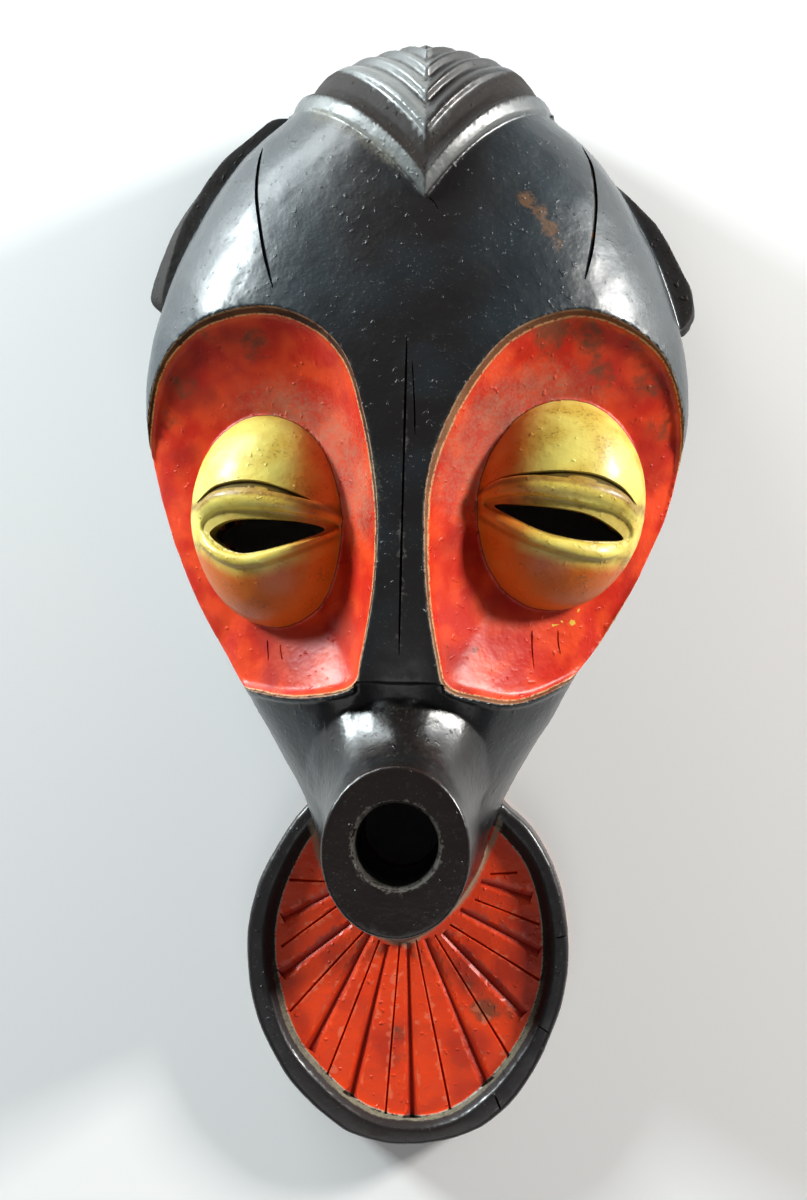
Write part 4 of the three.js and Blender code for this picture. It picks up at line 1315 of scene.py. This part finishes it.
def band_of(value, rise, fall):
    """1 in a band, with soft borders: the value goes up between the two of rise and down between fall's."""
    return smoothstep(*rise, value) * smoothstep(*fall[::-1], value)


foot_away = -inside_of(JAW_FOOT, JAW_CENTRE, x, y)
by_foot = (z < FOOT_TOP) & (field_share < 1)
foot_dust = by_foot * band_of(foot_away, (-1.5, 0.5), (1.6, 4.6)) * 0.9
on_slope = (z < BEARD_RIM - 0.5) & (z > 5) & (field_inside < 0) & (field_share < 1.02) & (foot_away > 1)
slope_dust = on_slope * band_of(-field_inside, (-1.2, 0.2), (1.4, 3.6))
slope_dust = slope_dust * mix(0.4, 0.8, smoothstep(-120, -160, y))
crest_x = x - CREST_LEAN * np.maximum(0, 1 - np.abs(x) / CREST_HALF_WIDTH)
behind_front = y - crest_front(crest_x)
under_hair = (z > HEAD_LEVEL) * smoothstep(-13, -1, behind_front) * (behind_front < 2)
under_hair = under_hair * smoothstep(46, 36, np.abs(x)) * mix(0.3, 0.58, smoothstep(5, -10, x))
from_nose = np.hypot(x / 1.1, (y - UNDER_NOSE_Y) * 1.3)
under_nose = (z > HEAD_LEVEL) * (z < 108) * (y < -29) * smoothstep(34, 12, from_nose) * 0.4
by_eye = eye_dust * (eye_above < 0) * 0.62
dust = np.clip(np.maximum.reduce([by_eye, foot_dust, slope_dust * 0.9, under_hair, under_nose]), 0, 1)
give(head, "dust", dust)
for name, spots in (("stain", RED_STAINS), ("worn", WORN_PATCHES), ("spatter", SPATTERS)):
    give(head, name, spotted(x, y, spots))
give(head, "hollow", np.clip(hollowness(head, 4), -2, 2))
print("dusty places:", int(np.sum(dust > 0.3)))

# %% [markdown]
# ## Colours of the hair and the fins
#
# The front band of the hair and the left halves of the chevrons carry grey dust and a painted sheen,
# stronger on the left where the lamp falls. The tread between them and the right halves are darkened with
# painted shade in a dull brown, and the fins are a dull brown of their own. Each place knows how far it
# lies behind the front edge, so the borders follow the chevrons.

# %% Hair and fins
FRONT_EDGE = (-0.2, 0.6)
TREAD_EDGE = (6.2, 7)
RIDGE_EDGE = (19.8, 20.4)
PARTING = 0.3
on_fin = smoothstep(1.004, 1.02, head_reach(x, y)) * (y > 84) * (np.abs(x) > 50)
on_crest = (np.abs(x) < CREST_HALF_WIDTH) * (y > 100) * smoothstep(50, 72, z)
front_band = band_of(behind_front, FRONT_EDGE, TREAD_EDGE) * on_crest
first_tread = band_of(behind_front, TREAD_EDGE, RIDGE_EDGE) * smoothstep(46, 38, np.abs(x))
ridges = smoothstep(*RIDGE_EDGE, behind_front) * on_crest
right_half = smoothstep(-PARTING, PARTING, crest_x)
left_ridges, right_ridges = ridges * (1 - right_half), ridges * right_half
# grey: grey dust and a painted sheen on the front band and the left halves, stronger on the left
give(head, "grey", np.maximum(left_ridges, front_band * mix(1, 0.7, x > 0)))
# brown: the fins' own dull brown, and painted shade on the tread behind the band and on the right halves
give(head, "brown", np.maximum.reduce([on_fin, first_tread, right_ridges * 0.55]))
give(head, "matt", np.maximum.reduce([on_fin, first_tread, on_slope * 0.9, right_ridges * 0.3]))
print("places on the hair:", int(np.sum(on_crest > 0.5)), "; on the fins:", int(np.sum(on_fin > 0.5)))

# %% [markdown]
# ## Clouds in the paint
#
# Paint put on by hand is never even. Another Geometry Nodes tree stores three soft noises with the skin,
# each with its grain's size in millimetres and its detail, and the shader only has to look them up.

# %% Cloud tree
CLOUDS = {"cloud": (24, 2.0), "mottle": (10, 3.0), "wander": (5, 2.0)}
cloud_tree, graph, given = new_geometry_tree("clouds in the paint", {"Material": "NodeSocketMaterial"})
place = graph.node("GeometryNodeInputPosition")
clouded = given["Geometry"]
for name, (grain_size, detail) in CLOUDS.items():
    noise_value = graph.node("ShaderNodeTexNoise", {},
                             {"Vector": place, "Scale": 1 / (grain_size * MM), "Detail": detail})
    clouded = graph.node("GeometryNodeStoreNamedAttribute", {"data_type": "FLOAT", "domain": "POINT"},
                         {"Geometry": clouded, "Name": name, "Value": noise_value})
end_geometry_tree(graph, clouded, given["Material"])
run_geometry_tree(head, cloud_tree, **{"Material": clay_material})
print("the skin carries:", sorted(item.name for item in head.data.attributes if item.data_type == "FLOAT"))

# %% [markdown]
# ## The paint
#
# One material carries all of it, layer over layer, the way the maker worked: black first, then red and
# yellow, each with a crisp border that wavers a little. Knife edges show a thin line of buff clay. Dirt and
# dust lie on the paint, and the unpainted clay of the back has a mask of its own. Painted shade darkens
# the hollows, the creases and the lower, nose-side parts of the eyes, painted highlights lie along convex
# edges, and a painted blue-grey reflection lies on the sides of the head.


# %% Paint helpers
def colour(red, green, blue):
    """A colour from its display values, 0 to 255."""
    return tuple((value / 255 / 12.92) if value < 11 else ((value / 255 + 0.055) / 1.055) ** 2.4
                 for value in (red, green, blue)) + (1.0,)


clay_material.node_tree.nodes.clear()
paint = Graph(clay_material.node_tree)
place = paint.node("ShaderNodeTexCoord", output=3)


def stored(name):
    """A number that the skin carries."""
    return paint.node("ShaderNodeAttribute", {"attribute_name": name}, output=2)


def noise(size, detail=1.0):
    """Noise from 0 to 1, with a grain of the given size in millimetres."""
    return paint.node("ShaderNodeTexNoise", {},
                      {"Vector": place, "Scale": 1 / (size * MM), "Detail": detail, "Roughness": 0.55})


def over(under, top, mask):
    """A colour laid over another where the mask is 1."""
    return paint.node("ShaderNodeMix", {"data_type": "RGBA"}, {0: mask, 6: under, 7: top}, output=2)


def layered(base, *layers):
    """A colour with others laid over it, from the lowest up: each is a colour and its mask."""
    for top, mask in layers:
        base = over(base, top, mask)
    return base


def beyond(wire, border, blur):
    """0 before a border and 1 past it. The border and the blur on each side are in millimetres."""
    return wire.between((border - blur) * MM, (border + blur) * MM)


def line_along(distance, width):
    """1 on a border, 0 a width away from it."""
    return distance.maths("ABSOLUTE", distance).between(width, width * 0.4)


print("brick red, linear:", [round(value, 3) for value in colour(200, 55, 31)])

# %% Masks
grain = noise(1.0, 2.0)
fine = noise(3.2, 2.0)
cloud = stored("cloud")
mottle = stored("mottle")
wander = (stored("wander") - 0.5) * 0.8 + (fine - 0.5) * 0.5
in_socket = stored("socket")
in_red = stored("red") + wander * 0.6
in_yellow = stored("yellow") + wander * 0.5
under_mean = stored("hollow")
red_mask = in_red.between(-0.1, 0.1)
strip_mask = (in_socket + wander * 0.4).between(-0.1, 0.1) * (1 - red_mask)
yellow_mask = in_yellow.between(-0.1, 0.1)
bare_mask = (stored("bare") + wander).between(-0.2, 0.2)
black_mask = (1 - red_mask) * (1 - yellow_mask) * (1 - strip_mask) * (1 - bare_mask)
coordinates = paint.node("ShaderNodeSeparateXYZ", {}, {"Vector": place}).socket.node.outputs
across, up_face, level = (Wire(paint, coordinates[axis]) for axis in ("X", "Y", "Z"))
on_head = beyond(up_face, -70, 4)
on_beard = (1 - beyond(level, 28, 2)) * (1 - on_head)
muzzle = (1 - beyond(up_face, -32, 4)) * beyond(level, 32, 2)
lip = beyond(level, MOUTH["height"] - 2, 0.5)
# Painted reflection: the sides of the head get a blue-grey sheen, as of the pale room mirrored at a
# glancing angle.
side_sheen = beyond(across.maths("ABSOLUTE", across), 31, 19)
right_side = beyond(across, 0, 2)
print("mask nodes:", len(paint.tree.nodes))

# %% Black, red and yellow
black = layered(
    colour(15, 10, 9),
    # painted reflection on the sides of the head, mixed with random cloud in the paint
    (colour(23, 38, 46), side_sheen * 0.7 + cloud.between(0.42, 0.66) * 0.3),
    (colour(24, 14, 12), lip.larger(on_beard * 0.8)),
    # dull brown on the fins; painted shade on the hair's first tread and right halves
    (colour(28, 18, 12), stored("brown") * (0.6 + mottle * 0.5)),
    # grey dust and painted sheen on the hair's front band and left halves
    (colour(134, 137, 135), (stored("grey") * (0.6 + mottle * 0.3 + fine * 0.3)).clamp() * 0.65),
    (colour(22, 17, 14), muzzle * 0.4),
    (colour(40, 46, 52), fine.between(0.6, 0.85) * 0.25))
stained = (stored("stain") * 0.7 + mottle * 0.8 + fine * 0.7 - 0.75).between(0.3, 0.75)
red = layered(
    colour(196, 36, 12),
    (colour(220, 66, 24), mottle.between(0.38, 0.62)),
    (colour(224, 60, 8), on_beard * 0.8),
    (colour(140, 24, 14), cloud.between(0.5, 0.68) * 0.55),
    (colour(92, 62, 40), stained * 0.8))
yellow = layered(
    colour(224, 208, 104),
    (colour(208, 178, 74), mottle.between(0.4, 0.66)),
    # painted shade, warm from the red socket, on the nose side and lower part of each eye
    (colour(206, 92, 10), (stored("ochre_shade") * (0.8 + mottle * 0.5)).clamp() * 0.95),
    # painted shade in the crease, between the lids and under the lower lid
    (colour(116, 70, 20), (stored("fold_shade") * (0.5 + fine * 0.8)).clamp() * 0.8),
    (colour(104, 82, 38), (grain * 0.5 + mottle * 0.5).between(0.54, 0.68) * 0.55))
print("nodes with three paints:", len(paint.tree.nodes))

# %% Clay, wear and dust
chipped = (grain * 0.6 + fine * 0.4).between(0.4, 0.52)
clay = over(colour(168, 96, 60), colour(126, 64, 40), fine.between(0.35, 0.65))
strip_tone = (mottle.between(0.45, 0.65) * 0.35 + right_side * 0.6).clamp()
strip = over(colour(46, 21, 12), colour(132, 84, 50), strip_tone)
worn = (stored("worn") * 0.8 + grain * 0.7 + fine * 0.5 - 0.9).between(0.1, 0.4)
specks = noise(0.8, 0.0).between(0.72, 0.8) * cloud.between(0.4, 0.62)
spatter = (stored("spatter") + (grain - 0.5) * 0.2).between(0.72, 0.8)
red_edge = line_along(in_red - 0.1, 0.38) * (1 - yellow_mask) * chipped
rim_edge = line_along(in_socket, 0.3) * on_head * chipped
# Painted shade: places that lie under the mean of their surroundings, in hollows, creases and cuts, are
# darkened; dark brown with some dirt on the head, dark red in the beard's cuts.
crevice_shade = under_mean.between(0.16, 0.6).larger(under_mean.between(0.06, 0.26) * stored("grey"))
red_beard = on_beard * red_mask
# Pale line on convex edges of the black: partly worn paint, partly a painted highlight.
rubbed_edge_sheen = under_mean.between(-0.3, -0.7) * chipped * black_mask
# Painted highlight: salmon along the convex edges of the beard's cuts, with some wear.
cut_edge_highlight = under_mean.between(-0.16, -0.42) * (0.6 + fine * 0.4)
foot_line = line_along(in_yellow, 0.45) * in_socket.between(2, 4)
dust = (stored("dust") * 1.3 + grain * 0.45 + fine * 0.3 + mottle * 0.2 - 1.0).between(0.0, 0.7)
skin = layered(
    black,
    (colour(98, 68, 42), worn * 0.75),
    (colour(112, 108, 92), specks * 0.25),
    (strip, strip_mask),
    (red, red_mask),
    (yellow, yellow_mask),
    (colour(214, 176, 62), spatter),
    (colour(198, 156, 110), red_edge * on_head * 0.9),
    (colour(146, 140, 120), red_edge * on_beard * 0.9),
    (colour(176, 150, 118), rim_edge * 0.6),
    # painted shade in the hollows of the head, with some dirt
    (colour(34, 18, 10), crevice_shade * (1 - red_beard) * 0.8),
    # painted shade in the beard's cuts
    (colour(146, 22, 8), crevice_shade * red_beard * 0.7),
    # worn paint and painted highlight on convex edges
    (colour(120, 116, 110), rubbed_edge_sheen * 0.35),
    # painted highlight on the edges of the beard's cuts
    (colour(232, 122, 88), cut_edge_highlight * red_beard * 0.55),
    (colour(60, 24, 10), foot_line * 0.75),
    (colour(139, 132, 110), dust * 0.85 * (1 - bare_mask) * (1 - yellow_mask)),
    (clay, bare_mask))
print("nodes with wear and dust:", len(paint.tree.nodes))

# %% Gloss and relief
rough = 0.36 + cloud * 0.14 + dust * 0.4 + strip_mask * 0.3 + stored("matt") * 0.25 - muzzle * 0.1
rough = rough + (0.85 - rough) * bare_mask
relief = noise(2.6, 1.0)
bubbles = relief.between(0.66, 0.8)
height = relief * 0.16 + bubbles * 0.24 + grain * 0.04
bump = paint.node("ShaderNodeBump", {}, {"Strength": 1.0, "Distance": MM, "Height": height})
clean_black = black_mask * (1 - dust * 0.8) * (1 - stored("matt")) * (1 - muzzle * 0.4)
shader = paint.node("ShaderNodeBsdfPrincipled", {}, {
    "Base Color": skin, "Roughness": rough.clamp(), "Normal": bump, "IOR": 1.5, "Specular IOR Level": 0.36,
    "Coat Weight": clean_black * 0.65 + red_mask * 0.08 + yellow_mask * 0.15, "Coat Roughness": 0.25})
surface = paint.tree.nodes.new("ShaderNodeOutputMaterial")
paint.tree.links.new(shader.socket, surface.inputs["Surface"])
print("paint nodes:", len(paint.tree.nodes))

# %% [markdown]
# ## The finished piece
#
# One mesh is the whole piece, since the real one is a single lump of fired clay. It replaces the frame's
# node, rides the root and carries the one painted material, in which the black paint covers most of it.

# %% Hand over
SHARP_ANGLE = 40
head.name = "mask_clay"
head.data.materials.clear()
head.data.materials.append(clay_material)
head.data.shade_smooth()
head.data.set_sharp_from_angle(angle=math.radians(SHARP_ANGLE))
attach(head, "root")
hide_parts("mask")
visual_corners = corners_of(head.data) * MM
